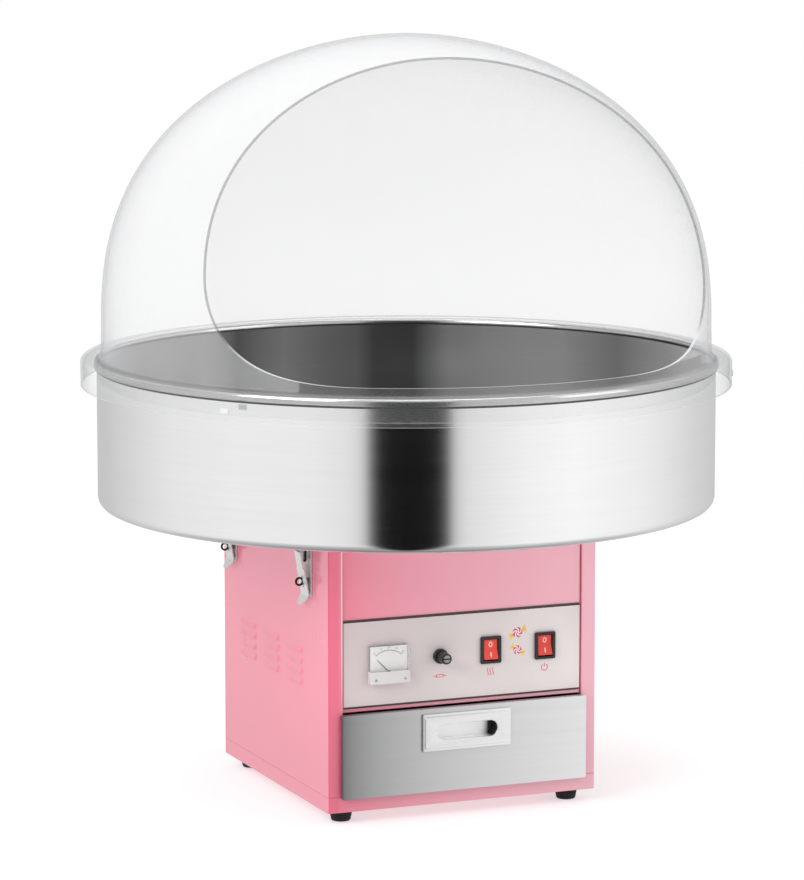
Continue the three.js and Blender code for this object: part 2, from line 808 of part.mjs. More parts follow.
function motorBracket() {
  const [w, t] = [bracketHalfWidth, bracketSheet];
  const top = shellTop - fit;
  const section = outline([
    [-w, bracketBottom, 3],
    [w, bracketBottom, 3],
    [w, top - t],
    [w + bracketFoot, top - t],
    [w + bracketFoot, top],
    [w - t, top],
    [w - t, bracketBottom + t],
    [-w + t, bracketBottom + t],
    [-w + t, top],
    [-w - bracketFoot, top],
    [-w - bracketFoot, top - t],
    [-w, top - t],
  ]);
  const strap = push(section, 'y', -bracketDepth / 2, bracketDepth / 2, 3);
  return cut(strap, rod(bracketHole, 'z', bracketBottom - 1, bracketBottom + t + 1, 20));
}

const spindleLow = bracketBottom - fit - spindleInMotor;

function spindle() {
  return rod(spindleRadius, 'z', spindleLow, spindleTop, 16);
}

const slipLow = bracketBottom + bracketSheet + 4;
const slipRingLifts = [5, 18];

function slipRingHub() {
  const steps = slipRingLifts.flatMap((lift) => [
    [slipRadius, slipLow + lift],
    [slipRingRadius, slipLow + lift],
    [slipRingRadius, slipLow + lift + slipRingHeight],
    [slipRadius, slipLow + lift + slipRingHeight],
  ]);
  const profile = [
    [spindleRadius + fit, slipLow],
    [slipRadius, slipLow],
    ...steps,
    [slipRadius, slipLow + slipHeight],
    [spindleRadius + fit, slipLow + slipHeight],
    [spindleRadius + fit, slipLow],
  ];
  return turn(profile, 18);
}

function brushHolder() {
  const floor = bracketBottom + bracketSheet + fit;
  const near = slipRingRadius + fit;
  const far = near + brushLength;
  const post = block(
    [far, -brushPostWidth / 2, floor],
    [far + brushPostDepth, brushPostWidth / 2, slipLow + slipHeight]);
  const brushes = slipRingLifts.map((lift) => {
    const z = slipLow + lift + slipRingHeight / 2;
    return block([near, -brushWidth / 2, z - 2], [far + 1, brushWidth / 2, z + 2]);
  });
  return join(post, ...brushes);
}

// Spinning head
function headBase() {
  const [r, z] = [headRadius, headFloorTop];
  const bore = spindleRadius + fit;
  const hubLow = z - hubLength;
  const profile = [
    [bore, hubLow],
    [hubRadius, hubLow],
    [hubRadius, z - 8],
    [hubRadius + 6, z - 4],
    [r - 12, z - 3],
    [r - 2, z],
    [r, z + 3],
    [r, z + headRim],
    [r - headWall, z + headRim],
    [r - headWall, z + headWall],
    [bore, z + headWall],
    [bore, hubLow],
  ];
  return turn(profile, bandSlots);
}

const headSeat = headFloorTop + headWall + fit;
const bandOuter = headRadius - headWall - fit;
const capSeat = headSeat + bandHeight + fit;

function headBand() {
  const [out, into, top] = [bandOuter, bandOuter - bandThickness, headSeat + bandHeight];
  const band = turn([[into, headSeat], [out, headSeat], [out, top], [into, top], [into, headSeat]], bandSlots);
  const low = headSeat + (bandHeight - bandSlotHeight) / 2 + headRim / 4;
  const slots = [];
  for (let i = 0; i < bandSlots / 2; i += 1) {
    const slot = block(
      [-bandSlotWidth / 2, -out - 1, low],
      [bandSlotWidth / 2, out + 1, low + bandSlotHeight]);
    slots.push(slot.rotateZ(((i + 0.5) * 2 * Math.PI) / bandSlots));
  }
  return cut(band, ...slots);
}

function heaterRibbon() {
  const ring = (offset) => {
    const points = [];
    for (let i = 0; i < 2 * ribbonWaves; i += 1) {
      const angle = (i * Math.PI) / ribbonWaves;
      const radius = ribbonRadius + offset + (i % 2 ? ribbonWave : -ribbonWave);
      points.push(new THREE.Vector2(radius * Math.cos(angle), radius * Math.sin(angle)));
    }
    return points;
  };
  const shape = new THREE.Shape(ring(ribbonThickness / 2));
  shape.holes.push(new THREE.Path(ring(-ribbonThickness / 2)));
  return push(shape, 'z', headSeat, headSeat + ribbonHeight);
}

function sugarCup() {
  const [z, t] = [headSeat, cupWall];
  const profile = [
    [0, z],
    [cupBottomRadius, z],
    [cupTopRadius, z + cupHeight],
    [cupTopRadius - t, z + cupHeight],
    [cupBottomRadius - t, z + t],
    [0, z + t],
  ];
  return turn(profile, 24);
}

function headCap() {
  const [z, t] = [capSeat, capThickness];
  const profile = [
    [capHole, z + 5],
    [capHole + 8, z + 4],
    [headRadius - 14, z],
    [headRadius, z],
    [headRadius, z + t],
    [headRadius - 14, z + t + 1],
    [capHole + 8, z + t + 5],
    [capHole + 3, z + capCollar + 4],
    [capHole, z + capCollar + 4],
    [capHole, z + 5],
  ];
  return turn(profile, bandSlots);
}

// Bowl: a floor disc with a turned-up edge, a wall with a bead on top and a collar in the floor's hole
const [bowlEdge, bowlFacets] = [bowlRadius - bowlCorner, 36];
const seamAngle = -0.25 * Math.PI; // where the wall meets the floor's edge, in the middle of the corner

function bowlFloor() {
  const [z, t, corner] = [bowlBottom, bowlSheet, bowlCorner];
  const into = bowlHoleRadius + collarBend + fit;
  const end = seamAngle - fit / (corner - t);
  const profile = new THREE.Path();
  profile.moveTo(into, z);
  profile.lineTo(bowlEdge, z);
  profile.absarc(bowlEdge, z + corner, corner, -0.5 * Math.PI, end, false);
  profile.lineTo(bowlEdge + (corner - t) * Math.cos(end), z + corner + (corner - t) * Math.sin(end));
  profile.absarc(bowlEdge, z + corner, corner - t, end, -0.5 * Math.PI, true);
  profile.lineTo(into, z + t);
  profile.lineTo(into, z);
  return turn(profile.getPoints(1), bowlFacets);
}

function bowlWall() {
  const [r, z, t, corner] = [bowlRadius, bowlBottom, bowlSheet, bowlCorner];
  const beadZ = rimTop - beadHeight / 2;
  const start = [bowlEdge + corner * Math.cos(seamAngle), z + corner + corner * Math.sin(seamAngle)];
  const profile = new THREE.Path();
  profile.moveTo(...start);
  profile.absarc(bowlEdge, z + corner, corner, seamAngle, 0, false);
  profile.lineTo(r, beadZ - beadHeight / 2);
  profile.absellipse(beadMiddle, beadZ, beadWidth / 2, beadHeight / 2, -0.35 * Math.PI, 0.5 * Math.PI, false);
  profile.absellipse(beadMiddle, beadZ, beadWidth / 2, beadHeight / 2, 0.5 * Math.PI, Math.PI, false);
  profile.lineTo(r - t, z + corner);
  profile.absarc(bowlEdge, z + corner, corner - t, 0, seamAngle, true);
  profile.lineTo(...start);
  return turn(profile.getPoints(1), bowlFacets);
}

function bowlCollar() {
  const [hole, bend, z, t] = [bowlHoleRadius, collarBend, bowlBottom, bowlSheet];
  const profile = new THREE.Path();
  profile.moveTo(hole, z + collarHeight);
  profile.lineTo(hole, z + bend);
  profile.absarc(hole + bend, z + bend, bend, Math.PI, 1.5 * Math.PI, false);
  profile.lineTo(hole + bend, z + t);
  profile.absarc(hole + bend, z + bend, bend - t, 1.5 * Math.PI, Math.PI, true);
  profile.lineTo(hole + t, z + collarHeight);
  profile.lineTo(hole, z + collarHeight);
  return turn(profile.getPoints(1), bowlFacets);
}

// Bubble cover: a superellipse crown over a straight wall, a flange on the bowl's rim and a skirt
function domeProfile(inset, steps) {
  const points = [];
  for (let i = 0; i <= steps; i += 1) {
    const angle = (i / steps) * 0.5 * Math.PI;
    const radius = (domeRadius - inset) * Math.cos(angle) ** (2 / domeFull);
    const height = (domeRise - inset) * Math.sin(angle) ** (2 / domeFlat);
    points.push([i === steps ? 0 : radius, rimTop + domeShoulder + height]);
  }
  return points;
}

// The flange that sits on the bowl's rim, the skirt outside it and the start of the wall, up to the mouth's sill
function coverRing() {
  const t = coverThickness;
  const flangeTop = coverSeat + t;
  const [wall, seam] = [domeRadius + wallFlare, rimTop + mouthSill];
  const [out, into, skirtLow] = [ringRadius, ringRadius - t, rimTop - skirtDrop];
  const shoulder = (radius, count) => {
    const points = [];
    for (let i = 0; i <= count; i += 1) {
      const angle = (i / count) * 0.5 * Math.PI;
      points.push([
        ringRadius - shoulderRadius + radius * Math.sin(angle),
        flangeTop - shoulderRadius + radius * Math.cos(angle),
      ]);
    }
    return points;
  };
  const profile = [
    [wall, seam],
    [wall, flangeTop + wallBend],
    [wall + wallBend / 2, flangeTop],
    ...shoulder(shoulderRadius, 2),
    [out, skirtLow],
    [into, skirtLow],
    ...shoulder(shoulderRadius - t, 1).reverse(),
    [wall, coverSeat],
    [wall - t, flangeTop + wallBend / 2],
    [wall - t, seam],
    [wall, seam],
  ];
  const nubs = nubTurns.map((angle) => block(
    [-nubWidth / 2, -out - nubProud, rimTop - nubDrop - nubHeight / 2],
    [nubWidth / 2, -out + 0.8 * t, rimTop - nubDrop + nubHeight / 2]).rotateZ(angle * degree));
  return join(turn(profile, bowlFacets), ...nubs);
}

function domeShell() {
  const [t, low] = [coverThickness, rimTop + mouthSill + fit];
  const profile = [
    ...domeProfile(0, 10).reverse(),
    [domeRadius + wallFlare, low],
    [domeRadius + wallFlare - t, low],
    ...domeProfile(t, 8),
  ];
  return cut(turn(profile, bowlFacets), mouthCutter());
}

// What the cover's open front leaves out: a flat sill, a round corner and a cut that leans back
function mouthCutter() {
  const sill = rimTop + mouthSill;
  const high = rimTop + domeShoulder + domeRise + 20;
  const slope = Math.tan(mouthLean * degree);
  const reach = ringRadius + 40;
  const side = outline([
    [mouthForward, sill, mouthCornerRadius],
    [reach, sill],
    [reach, high],
    [mouthForward - (high - sill) * slope, high],
  ]);
  const wide = ringRadius + 20;
  return push(side, 'x', -wide, wide, 10).rotateZ(Math.PI).rotateZ(mouthTurn * degree);
}

// Toggle latches, modelled with +x pointing out of the cabinet's side and y = 0 at the latch's middle
function latchBase() {
  const [w, t] = [latchPlateWidth / 2, latchPlateSheet];
  const top = latchPivotZ + 6;
  const low = top - latchPlateHeight;
  const plate = push(rectangle(2 * w, latchPlateHeight, 2.5, 0, (top + low) / 2), 'x', fit, fit + t, 1);
  const ear = new THREE.Shape();
  ear.moveTo(fit + t / 2, latchPivotZ - 2 * bailArm);
  ear.lineTo(fit + t / 2, latchPivotZ + earRadius);
  ear.absarc(latchPivotOut, latchPivotZ, earRadius, 0.7 * Math.PI, -0.25 * Math.PI, true);
  ear.lineTo(latchPivotOut - 1, latchPivotZ - bailArm - 1);
  ear.closePath();
  const ears = [-1, 1].map((side) => {
    const [a, b] = [side * earInner, side * (earInner + earThickness)];
    return push(ear, 'y', Math.min(a, b), Math.max(a, b), 3);
  });
  const pinReach = leverNeck + fit;
  const pin = rod(latchPinRadius, 'y', -pinReach, pinReach, 10).translate(latchPivotOut, 0, latchPivotZ);
  const eyeZ = latchPivotZ - eyeDrop;
  const neck = block([fit + t / 2, -1, eyeZ - 3.5], [eyeOut - eyeHole, 1, eyeZ + 3.5]);
  const ring = rod(eyeRadius, 'y', -1, 1, 16).translate(eyeOut, 0, eyeZ);
  const hole = rod(eyeHole, 'y', -2, 2, 12).translate(eyeOut, 0, eyeZ);
  return cut(join(plate, ...ears, pin, neck, ring), hole);
}

// The lever's face, from above its pivot down to the lifted tip, as offsets from the pivot
const leverTop = [6, 1.5];
const leverLow = [-3.5, -leverReach + 10.5];
const leverTip = [4, -leverReach];

function latchLever() {
  const [px, pz] = [latchPivotOut, latchPivotZ];
  const [top, low, tip] = [leverTop, leverLow, leverTip].map(([x, z]) => new THREE.Vector2(px + x, pz + z));
  const t = leverSheet;
  const side = outline([
    [top.x, top.y],
    [low.x, low.y, 5],
    [tip.x, tip.y],
    [tip.x - t, tip.y - t / 2],
    [low.x - t, low.y, 5],
    [top.x - t, top.y],
  ]);
  const half = leverWidth / 2;
  const face = push(side, 'y', -half, half, 2);
  const neckLow = pz - bailArm - 10;
  const shoulders = [-1, 1].map((s) => block(
    [px - 20, Math.min(s * leverNeck, s * (half + 1)), neckLow],
    [px + 20, Math.max(s * leverNeck, s * (half + 1)), pz + 20]));
  const tipCorners = [-1, 1].map((s) => push(
    outline([[s * (half + 1), tip.y - 2], [s * (half + 1), tip.y + 9], [s * (half - 8), tip.y - 2]]),
    'x', px - 20, px + 20));
  const slotZ = pz - eyeDrop;
  const slot = block([px - 20, -1 - running, slotZ - eyeRadius - 1], [px + 20, 1 + running, slotZ + eyeRadius + 1]);
  const cheek = () => outline([
    [top.x - t / 2, top.y],
    [px - 2, pz + 3.6, 2],
    [px - 3.8, pz, 2],
    [px - 3.8, pz - bailArm - 2, 3],
    [px + 1.2, neckLow],
    [px + 2.2, neckLow],
  ]);
  const cheeks = [-1, 1].map((s) => {
    const [a, b] = [s * (leverNeck - t), s * leverNeck];
    return push(cheek(), 'y', Math.min(a, b), Math.max(a, b), 1);
  });
  const pinHole = rod(latchPinRadius + fit, 'y', -half - 1, half + 1, 10).translate(px, 0, pz);
  const bailHole = rod(bailWire + fit, 'y', -half - 1, half + 1, 10).translate(px, 0, pz - bailArm);
  return cut(join(cut(face, ...shoulders), ...cheeks), ...tipCorners, slot, pinHole, bailHole);
}

// The bail is one bent wire: two pins in the lever, two legs and the bar that the keeper holds
function latchBail() {
  const [w, low, high] = [bailHalfWidth, latchPivotZ - bailArm, bailBarZ];
  const pinEnd = leverNeck - leverSheet + fit;
  const corner = 3.5;
  const at = (y, z) => new THREE.Vector3(latchPivotOut, y, z);
  const wire = new THREE.CurvePath();
  const bends = [at(-pinEnd, low), at(-w, low), at(-w, high), at(w, high), at(w, low), at(pinEnd, low)];
  const radii = [0, 1.6, corner, corner, 1.6, 0];
  let last = bends[0];
  for (let i = 1; i < bends.length - 1; i += 1) {
    const back = bends[i - 1].clone().sub(bends[i]).setLength(radii[i]).add(bends[i]);
    const ahead = bends[i + 1].clone().sub(bends[i]).setLength(radii[i]).add(bends[i]);
    wire.add(new THREE.LineCurve3(last, back));
    wire.add(new THREE.QuadraticBezierCurve3(back, bends[i], ahead));
    last = ahead;
  }
  wire.add(new THREE.LineCurve3(last, bends[bends.length - 1]));
  const section = new THREE.Shape().absarc(0, 0, bailWire, 0, 2 * Math.PI, false);
  return new THREE.ExtrudeGeometry(section, { steps: 20, extrudePath: wire, bevelEnabled: false, curveSegments: 3 });
}

// The keeper hangs from the bowl's floor, and its lip turns up round the bail's bar
function bowlKeeper() {
  const [t, top] = [keeperSheet, bowlBottom - fit];
  const back = latchPivotOut - keeperBack;
  const lip = latchPivotOut + keeperMouth;
  const floor = bailBarZ - bailWire - fit;
  const section = outline([
    [back - t, top],
    [back - t, floor - t, 1.5],
    [lip + t, floor - t, 1.5],
    [lip + t, bailBarZ + keeperLip],
    [lip, bailBarZ + keeperLip],
    [lip, floor],
    [back, floor],
    [back, top - t],
    [lip + 4, top - t],
    [lip + 4, top],
  ]);
  return push(section, 'y', -keeperWidth / 2, keeperWidth / 2, 2);
}

// Assembly: one group for each body that moves
function build() {
  const machine = new THREE.Group();
  const group = (parent) => {
    const made = new THREE.Group();
    parent.add(made);
    return made;
  };

  const cabinet = group(machine);
  piece(cabinet, 'cabinet_shell', cabinetShell(), 'pinkPaint');
  piece(cabinet, 'base_pan', basePan(), 'pinkPaint');
  piece(cabinet, 'top_deck', topDeck(), 'pinkPaint');
  piece(cabinet, 'front_panel', frontPanel(), 'pinkPaint');
  piece(cabinet, 'control_fascia', controlFascia(), 'paleFascia');
  piece(cabinet, 'compartment_shelf', compartmentShelf(), 'steel');
  piece(cabinet, 'rear_cover', rearCover(), 'pinkPaint');
  piece(cabinet, 'cord_gland', cordGland(), 'blackPlastic');
  piece(cabinet, 'drawer_runner_left', drawerRunner(-1), 'zinc');
  piece(cabinet, 'drawer_runner_right', drawerRunner(1), 'zinc');
  for (const [side, x] of [['left', -1], ['right', 1]]) {
    for (const [end, y] of [['front', -1], ['rear', 1]]) {
      const place = foot(x * (halfWidth - footInset), y * (halfDepth - footInset));
      piece(cabinet, `foot_${end}_${side}`, place, 'rubber');
    }
  }
  piece(cabinet, 'meter_case', meterCase(), 'blackPlastic');
  piece(cabinet, 'meter_dial', meterDial(), 'whitePlastic');
  piece(cabinet, 'meter_cover', meterCover(), 'clearPlastic');
  piece(cabinet, 'fuse_holder', fuseHolder(), 'blackPlastic');
  piece(cabinet, 'motor_body', motorBody(), 'darkMetal');
  piece(cabinet, 'motor_bracket', motorBracket(), 'zinc');
  piece(cabinet, 'brush_holder', brushHolder(), 'blackPlastic');

  piece(group(cabinet), 'meter_needle', meterNeedle(), 'blackPlastic');
  const fuse = group(cabinet);
  piece(fuse, 'fuse_cap', fuseCap(), 'blackPlastic');
  piece(fuse, 'fuse_cartridge', fuseCartridge(), 'glass');
  ['heat', 'power'].forEach((use, i) => {
    piece(cabinet, `${use}_switch_housing`, switchHousing(switchXs[i]), 'blackPlastic');
    piece(group(cabinet), `${use}_rocker`, rocker(switchXs[i]), 'redRocker');
  });

  const drawer = group(cabinet);
  piece(drawer, 'drawer_tray', drawerTray(), 'steel');
  piece(drawer, 'drawer_front', drawerFront(), 'steel');
  piece(drawer, 'drawer_pull', drawerPull(), 'steel');

  const spinner = group(cabinet);
  piece(spinner, 'spindle', spindle(), 'zinc');
  piece(spinner, 'slip_ring_hub', slipRingHub(), 'brass');
  piece(spinner, 'head_base', headBase(), 'aluminium');
  piece(spinner, 'head_band', headBand(), 'steel');
  piece(spinner, 'heater_ribbon', heaterRibbon(), 'darkMetal');
  piece(spinner, 'sugar_cup', sugarCup(), 'steel');
  piece(spinner, 'head_cap', headCap(), 'aluminium');

  const bowl = group(cabinet);
  piece(bowl, 'bowl_floor', bowlFloor(), 'steel');
  piece(bowl, 'bowl_wall', bowlWall(), 'steel');
  piece(bowl, 'bowl_collar', bowlCollar(), 'steel');
  const cover = group(bowl);
  piece(cover, 'cover_ring', coverRing(), 'clearPlastic');
  piece(cover, 'dome_shell', domeShell(), 'clearPlastic');

  for (const [side, sign] of [['left', -1], ['right', 1]]) {
    latchYs.forEach((y, i) => {
      const where = `${i === 0 ? 'front' : 'rear'}_${side}`;
      const place = (parent, name, geometry, finish) => {
        const mesh = piece(parent, `${name}_${where}`, geometry, finish);
        mesh.position.set(sign * halfWidth, y, 0);
        mesh.rotation.z = sign > 0 ? 0 : Math.PI;
      };
      place(cabinet, 'latch_base', latchBase(), 'zinc');
      place(bowl, 'bowl_keeper', bowlKeeper(), 'steel');
      const lever = group(cabinet);
      place(lever, 'latch_lever', latchLever(), 'zinc');
      place(group(lever), 'latch_bail', latchBail(), 'zinc');
    });
  }
  return machine;
}

export default build();
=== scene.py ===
import json
import math

import bmesh
import bpy
from mathutils import Matrix, Vector

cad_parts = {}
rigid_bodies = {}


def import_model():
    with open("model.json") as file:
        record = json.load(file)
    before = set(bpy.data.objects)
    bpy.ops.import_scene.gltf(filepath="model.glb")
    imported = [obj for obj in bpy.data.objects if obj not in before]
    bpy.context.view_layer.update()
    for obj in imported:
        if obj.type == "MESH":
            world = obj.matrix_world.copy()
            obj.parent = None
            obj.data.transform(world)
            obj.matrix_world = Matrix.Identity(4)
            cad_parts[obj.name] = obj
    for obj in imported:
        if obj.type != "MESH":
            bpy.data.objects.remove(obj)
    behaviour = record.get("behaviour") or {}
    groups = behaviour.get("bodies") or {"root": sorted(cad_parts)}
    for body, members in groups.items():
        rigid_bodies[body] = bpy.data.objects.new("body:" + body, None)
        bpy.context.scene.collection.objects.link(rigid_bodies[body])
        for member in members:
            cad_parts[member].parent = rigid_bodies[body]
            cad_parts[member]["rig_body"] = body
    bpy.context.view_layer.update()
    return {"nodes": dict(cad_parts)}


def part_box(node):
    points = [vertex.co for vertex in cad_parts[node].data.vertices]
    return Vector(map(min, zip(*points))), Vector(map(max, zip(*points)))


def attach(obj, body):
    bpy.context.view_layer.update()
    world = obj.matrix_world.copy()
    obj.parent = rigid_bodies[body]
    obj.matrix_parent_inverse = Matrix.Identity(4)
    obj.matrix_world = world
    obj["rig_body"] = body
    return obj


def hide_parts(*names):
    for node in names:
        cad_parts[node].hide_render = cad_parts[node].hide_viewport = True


mm = 0.001
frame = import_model()
cadNodes = frame["nodes"]
print("frame loaded:", len(cadNodes), "nodes")


# Small tools

def boxOf(node):
    low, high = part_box(node)
    return low / mm, high / mm


def middleOf(node):
    low, high = boxOf(node)
    return (low + high) / 2


def bodyOf(node):
    return cadNodes[node]["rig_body"]


# A node's name as a piece's name: drawer_front becomes drawerFront
def titled(node):
    first, *others = node.split("_")
    return first + "".join(word.title() for word in others)


# Links sockets to a node's inputs, and sets the rest as values. A node stands for its first output.
def feed(tree, node, values):
    for key, value in values.items():
        if isinstance(value, bpy.types.Node):
            value = value.outputs[0]
        if isinstance(value, bpy.types.NodeSocket):
            tree.links.new(value, node.inputs[key])
        else:
            node.inputs[key].default_value = value


def add(tree, kind, values=None, **settings):
    node = tree.nodes.new(kind)
    for key, value in settings.items():
        setattr(node, key, value)
    feed(tree, node, values or {})
    return node


def calc(tree, operation, *values):
    return add(tree, "ShaderNodeMath", dict(enumerate(values)), operation=operation).outputs[0]


def vectorCalc(tree, operation, *values):
    return add(tree, "ShaderNodeVectorMath", dict(enumerate(values)), operation=operation).outputs[0]


def axisOf(tree, vector, axis):
    return add(tree, "ShaderNodeSeparateXYZ", {0: vector}).outputs[axis]


def vectorOf(tree, x=0, y=0, z=0):
    return add(tree, "ShaderNodeCombineXYZ", {0: x, 1: y, 2: z}).outputs[0]


def toObject(name, mesh, materials=()):
    mesh.name = name
    obj = bpy.data.objects.new(name, mesh)
    bpy.context.scene.collection.objects.link(obj)
    for material in materials:
        mesh.materials.append(material)
    return obj


def meshOf(bm, turnOut=True):
    if turnOut and bm.calc_volume(signed=True) < 0:
        bmesh.ops.reverse_faces(bm, faces=bm.faces)
    mesh = bpy.data.meshes.new("made")
    bm.to_mesh(mesh)
    bm.free()
    return mesh


def shade(obj, angle=35, flat=False):
    for polygon in obj.data.polygons:
        polygon.use_smooth = True
    obj.data.set_sharp_from_angle(angle=math.radians(angle))
    if flat:
        weighted = obj.modifiers.new("weighted", "WEIGHTED_NORMAL")
        weighted.keep_sharp = True
        settle(obj)
    return obj


# Applies an object's modifiers and leaves a plain mesh
def settle(obj):
    bpy.context.view_layer.update()
    shown = obj.evaluated_get(bpy.context.evaluated_depsgraph_get())
    mesh = bpy.data.meshes.new_from_object(shown)
    obj.modifiers.clear()
    old = obj.data
    obj.data = mesh
    mesh.name = obj.name
    if old.users == 0 and isinstance(old, bpy.types.Mesh):
        bpy.data.meshes.remove(old)
    return obj


# How the edges of a CAD mesh are eased: weld in millimetres, flat and sharp in degrees
easing = {"weld": 0.002, "flat": 0.5, "sharp": 32}


def bevelled(obj, width, segments):
    bevel = obj.modifiers.new("bevel", "BEVEL")
    bevel.width = width * mm
    bevel.segments = segments
    bevel.limit_method = "ANGLE"
    bevel.angle_limit = math.radians(easing["sharp"])
    return settle(obj)


def carve(target, *tools, operation="DIFFERENCE"):
    for tool in tools:
        boolean = target.modifiers.new("carve", "BOOLEAN")
        boolean.operation = operation
        boolean.solver = "EXACT"
        boolean.object = tool
        settle(target)
    for tool in tools:
        bpy.data.objects.remove(tool)
    return target


def joined(name, objects):
    bm = bmesh.new()
    materials = []
    for obj in objects:
        start = len(bm.faces)
        bm.from_mesh(obj.data)
        bm.faces.ensure_lookup_table()
        slots = []
        for material in obj.data.materials:
            if material not in materials:
                materials.append(material)
            slots.append(materials.index(material))
        for face in bm.faces[start:]:
            if slots:
                face.material_index = slots[min(face.material_index, len(slots) - 1)]
    mesh = meshOf(bm, turnOut=False)
    for obj in objects:
        bpy.data.objects.remove(obj)
    return toObject(name, mesh, materials)


def piece(obj, body, slot, *replaced):
    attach(obj, body)
    if replaced:
        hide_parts(*replaced)
    return obj


# A finished object in the place of its CAD node
def standIn(obj, node, slot, angle=30):
    shade(obj, angle)
    return piece(obj, bodyOf(node), slot, node)


# Profiles and outlines, in millimetres

def arc(x, y, radius, start, end, steps, radiusY=None):
    high = radius if radiusY is None else radiusY
    points = []
    for i in range(steps + 1):
        angle = math.radians(start + (end - start) * i / steps)
        points.append((x + radius * math.cos(angle), y + high * math.sin(angle)))
    return points


# A closed outline through corners (x, y, radius), each rounded like a bent sheet
def rounded(corners, steps=6):
    points = []
    for i, corner in enumerate(corners):
        here = Vector(corner[:2])
        radius = corner[2] if len(corner) > 2 else 0
        if radius <= 0:
            points.append(tuple(here))
            continue
        back = (Vector(corners[i - 1][:2]) - here).normalized()
        ahead = (Vector(corners[(i + 1) % len(corners)][:2]) - here).normalized()
        reach = radius / math.tan(back.angle(ahead) / 2)
        start, end = here + back * reach, here + ahead * reach
        for k in range(steps + 1):
            t = k / steps
            points.append(tuple(start * (1 - t) ** 2 + here * 2 * t * (1 - t) + end * t ** 2))
    return points


def rectangle(width, height, radius=0, x=0, y=0):
    w, h = width / 2, height / 2
    if radius <= 0:
        return [(x - w, y - h), (x + w, y - h), (x + w, y + h), (x - w, y + h)]
    points = []
    for cx, cy, start in ((w - radius, h - radius, 0), (radius - w, h - radius, 90),
                          (radius - w, radius - h, 180), (w - radius, radius - h, 270)):
        points += arc(x + cx, y + cy, radius, start, start + 90, 5)
    return points


def circle(radius, x=0, y=0, steps=32):
    return arc(x, y, radius, 0, 360, steps)[:-1]


def stadium(length, height, y):
    reach, half = length / 2 - height / 2, height / 2
    return arc(reach, y, half, -90, 90, 14) + arc(-reach, y, half, 90, 270, 14)


# A profile of (radius, height) turned round an axis. skins gives a material index for each profile step.
def turned(name, profile, segments, materials, place=None, skins=None, closed=True):
    bm = bmesh.new()
    rings = []
    for radius, height in profile:
        if radius < 1e-6:
            rings.append([bm.verts.new((0, 0, height * mm))] * segments)
            continue
        ring = []
        for i in range(segments):
            angle = 2 * math.pi * i / segments
            x, y = radius * mm * math.cos(angle), radius * mm * math.sin(angle)
            ring.append(bm.verts.new((x, y, height * mm)))
        rings.append(ring)
    count = len(rings) if closed else len(rings) - 1
    for step in range(count):
        low, high = rings[step], rings[(step + 1) % len(rings)]
        for i in range(segments):
            k = (i + 1) % segments
            corners = list(dict.fromkeys([low[i], low[k], high[k], high[i]]))
            if len(corners) > 2:
                face = bm.faces.new(corners)
                face.material_index = skins[step] if skins else 0
    obj = toObject(name, meshOf(bm), materials)
    if place is not None:
        obj.data.transform(place)
    return obj


# The plain mesh of a curve or a text, which is then removed
def flattened(curve):
    drawn = bpy.data.objects.new(curve.name, curve)
    bpy.context.scene.collection.objects.link(drawn)
    bpy.context.view_layer.update()
    mesh = bpy.data.meshes.new_from_object(drawn.evaluated_get(bpy.context.evaluated_depsgraph_get()))
    bpy.data.objects.remove(drawn)
    bpy.data.curves.remove(curve)
    return mesh


# A flat plate with holes. It lies in x and y and grows to +z from 0, with softened edges.
def plate(name, outlines, thickness, materials, place=None, edge=0.0, steps=2):
    curve = bpy.data.curves.new(name, "CURVE")
    curve.dimensions = "2D"
    curve.fill_mode = "BOTH"
    curve.extrude = (thickness / 2 - edge) * mm
    curve.bevel_depth = edge * mm
    curve.bevel_resolution = steps
    curve.offset = -edge * mm
    for outline in outlines:
        spline = curve.splines.new("POLY")
        spline.points.add(len(outline) - 1)
        for point, (x, y) in zip(spline.points, outline):
            point.co = (x * mm, y * mm, 0, 1)
        spline.use_cyclic_u = True
    mesh = flattened(curve)
    bm = bmesh.new()
    bm.from_mesh(mesh)
    bpy.data.meshes.remove(mesh)
    bmesh.ops.remove_doubles(bm, verts=bm.verts, dist=1e-7)
    bmesh.ops.recalc_face_normals(bm, faces=bm.faces)
    bmesh.ops.translate(bm, verts=bm.verts, vec=(0, 0, thickness / 2 * mm))
    obj = toObject(name, meshOf(bm), materials)
    if place is not None:
        obj.data.transform(place)
    return obj


def roundedBox(name, low, high, radius, materials, segments=3):
    bm = bmesh.new()
    bmesh.ops.create_cube(bm, size=1)
    for vert in bm.verts:
        for axis in range(3):
            vert.co[axis] = (low[axis] if vert.co[axis] < 0 else high[axis]) * mm
    if radius > 0:
        bmesh.ops.bevel(bm, geom=list(bm.edges), offset=radius * mm, segments=segments, profile=0.5,
                        affect="EDGES")
    return toObject(name, meshOf(bm), materials)


# Stands a plate upright, looking to the front or the back: its y runs up and its z out of that side
def facing(side, x=0.0, y=0.0, z=0.0):
    out = {"front": -1, "back": 1}[side]
    turn = Matrix(((-out, 0, 0), (0, 0, 1), (0, out, 0))).transposed().to_4x4()
    return Matrix.Translation(Vector((x, y, z)) * mm) @ turn


# A copy of a CAD node with its sharp edges eased. choose gives each face's material from its middle.
def softened(node, materials, slot, width, segments=2, choose=None, name=None):
    bm = bmesh.new()
    bm.from_mesh(cadNodes[node].data)
    bmesh.ops.remove_doubles(bm, verts=bm.verts, dist=easing["weld"] * mm)
    bmesh.ops.dissolve_limit(bm, angle_limit=math.radians(easing["flat"]), verts=bm.verts, edges=bm.edges)
    mesh = meshOf(bm, turnOut=False)
    mesh.materials.clear()
    obj = bevelled(toObject(name or titled(node), mesh, materials), width, segments)
    if choose is not None:
        for polygon in obj.data.polygons:
            polygon.material_index = choose(polygon.center / mm)
    shade(obj, flat=True)
    return piece(obj, bodyOf(node), slot, node)


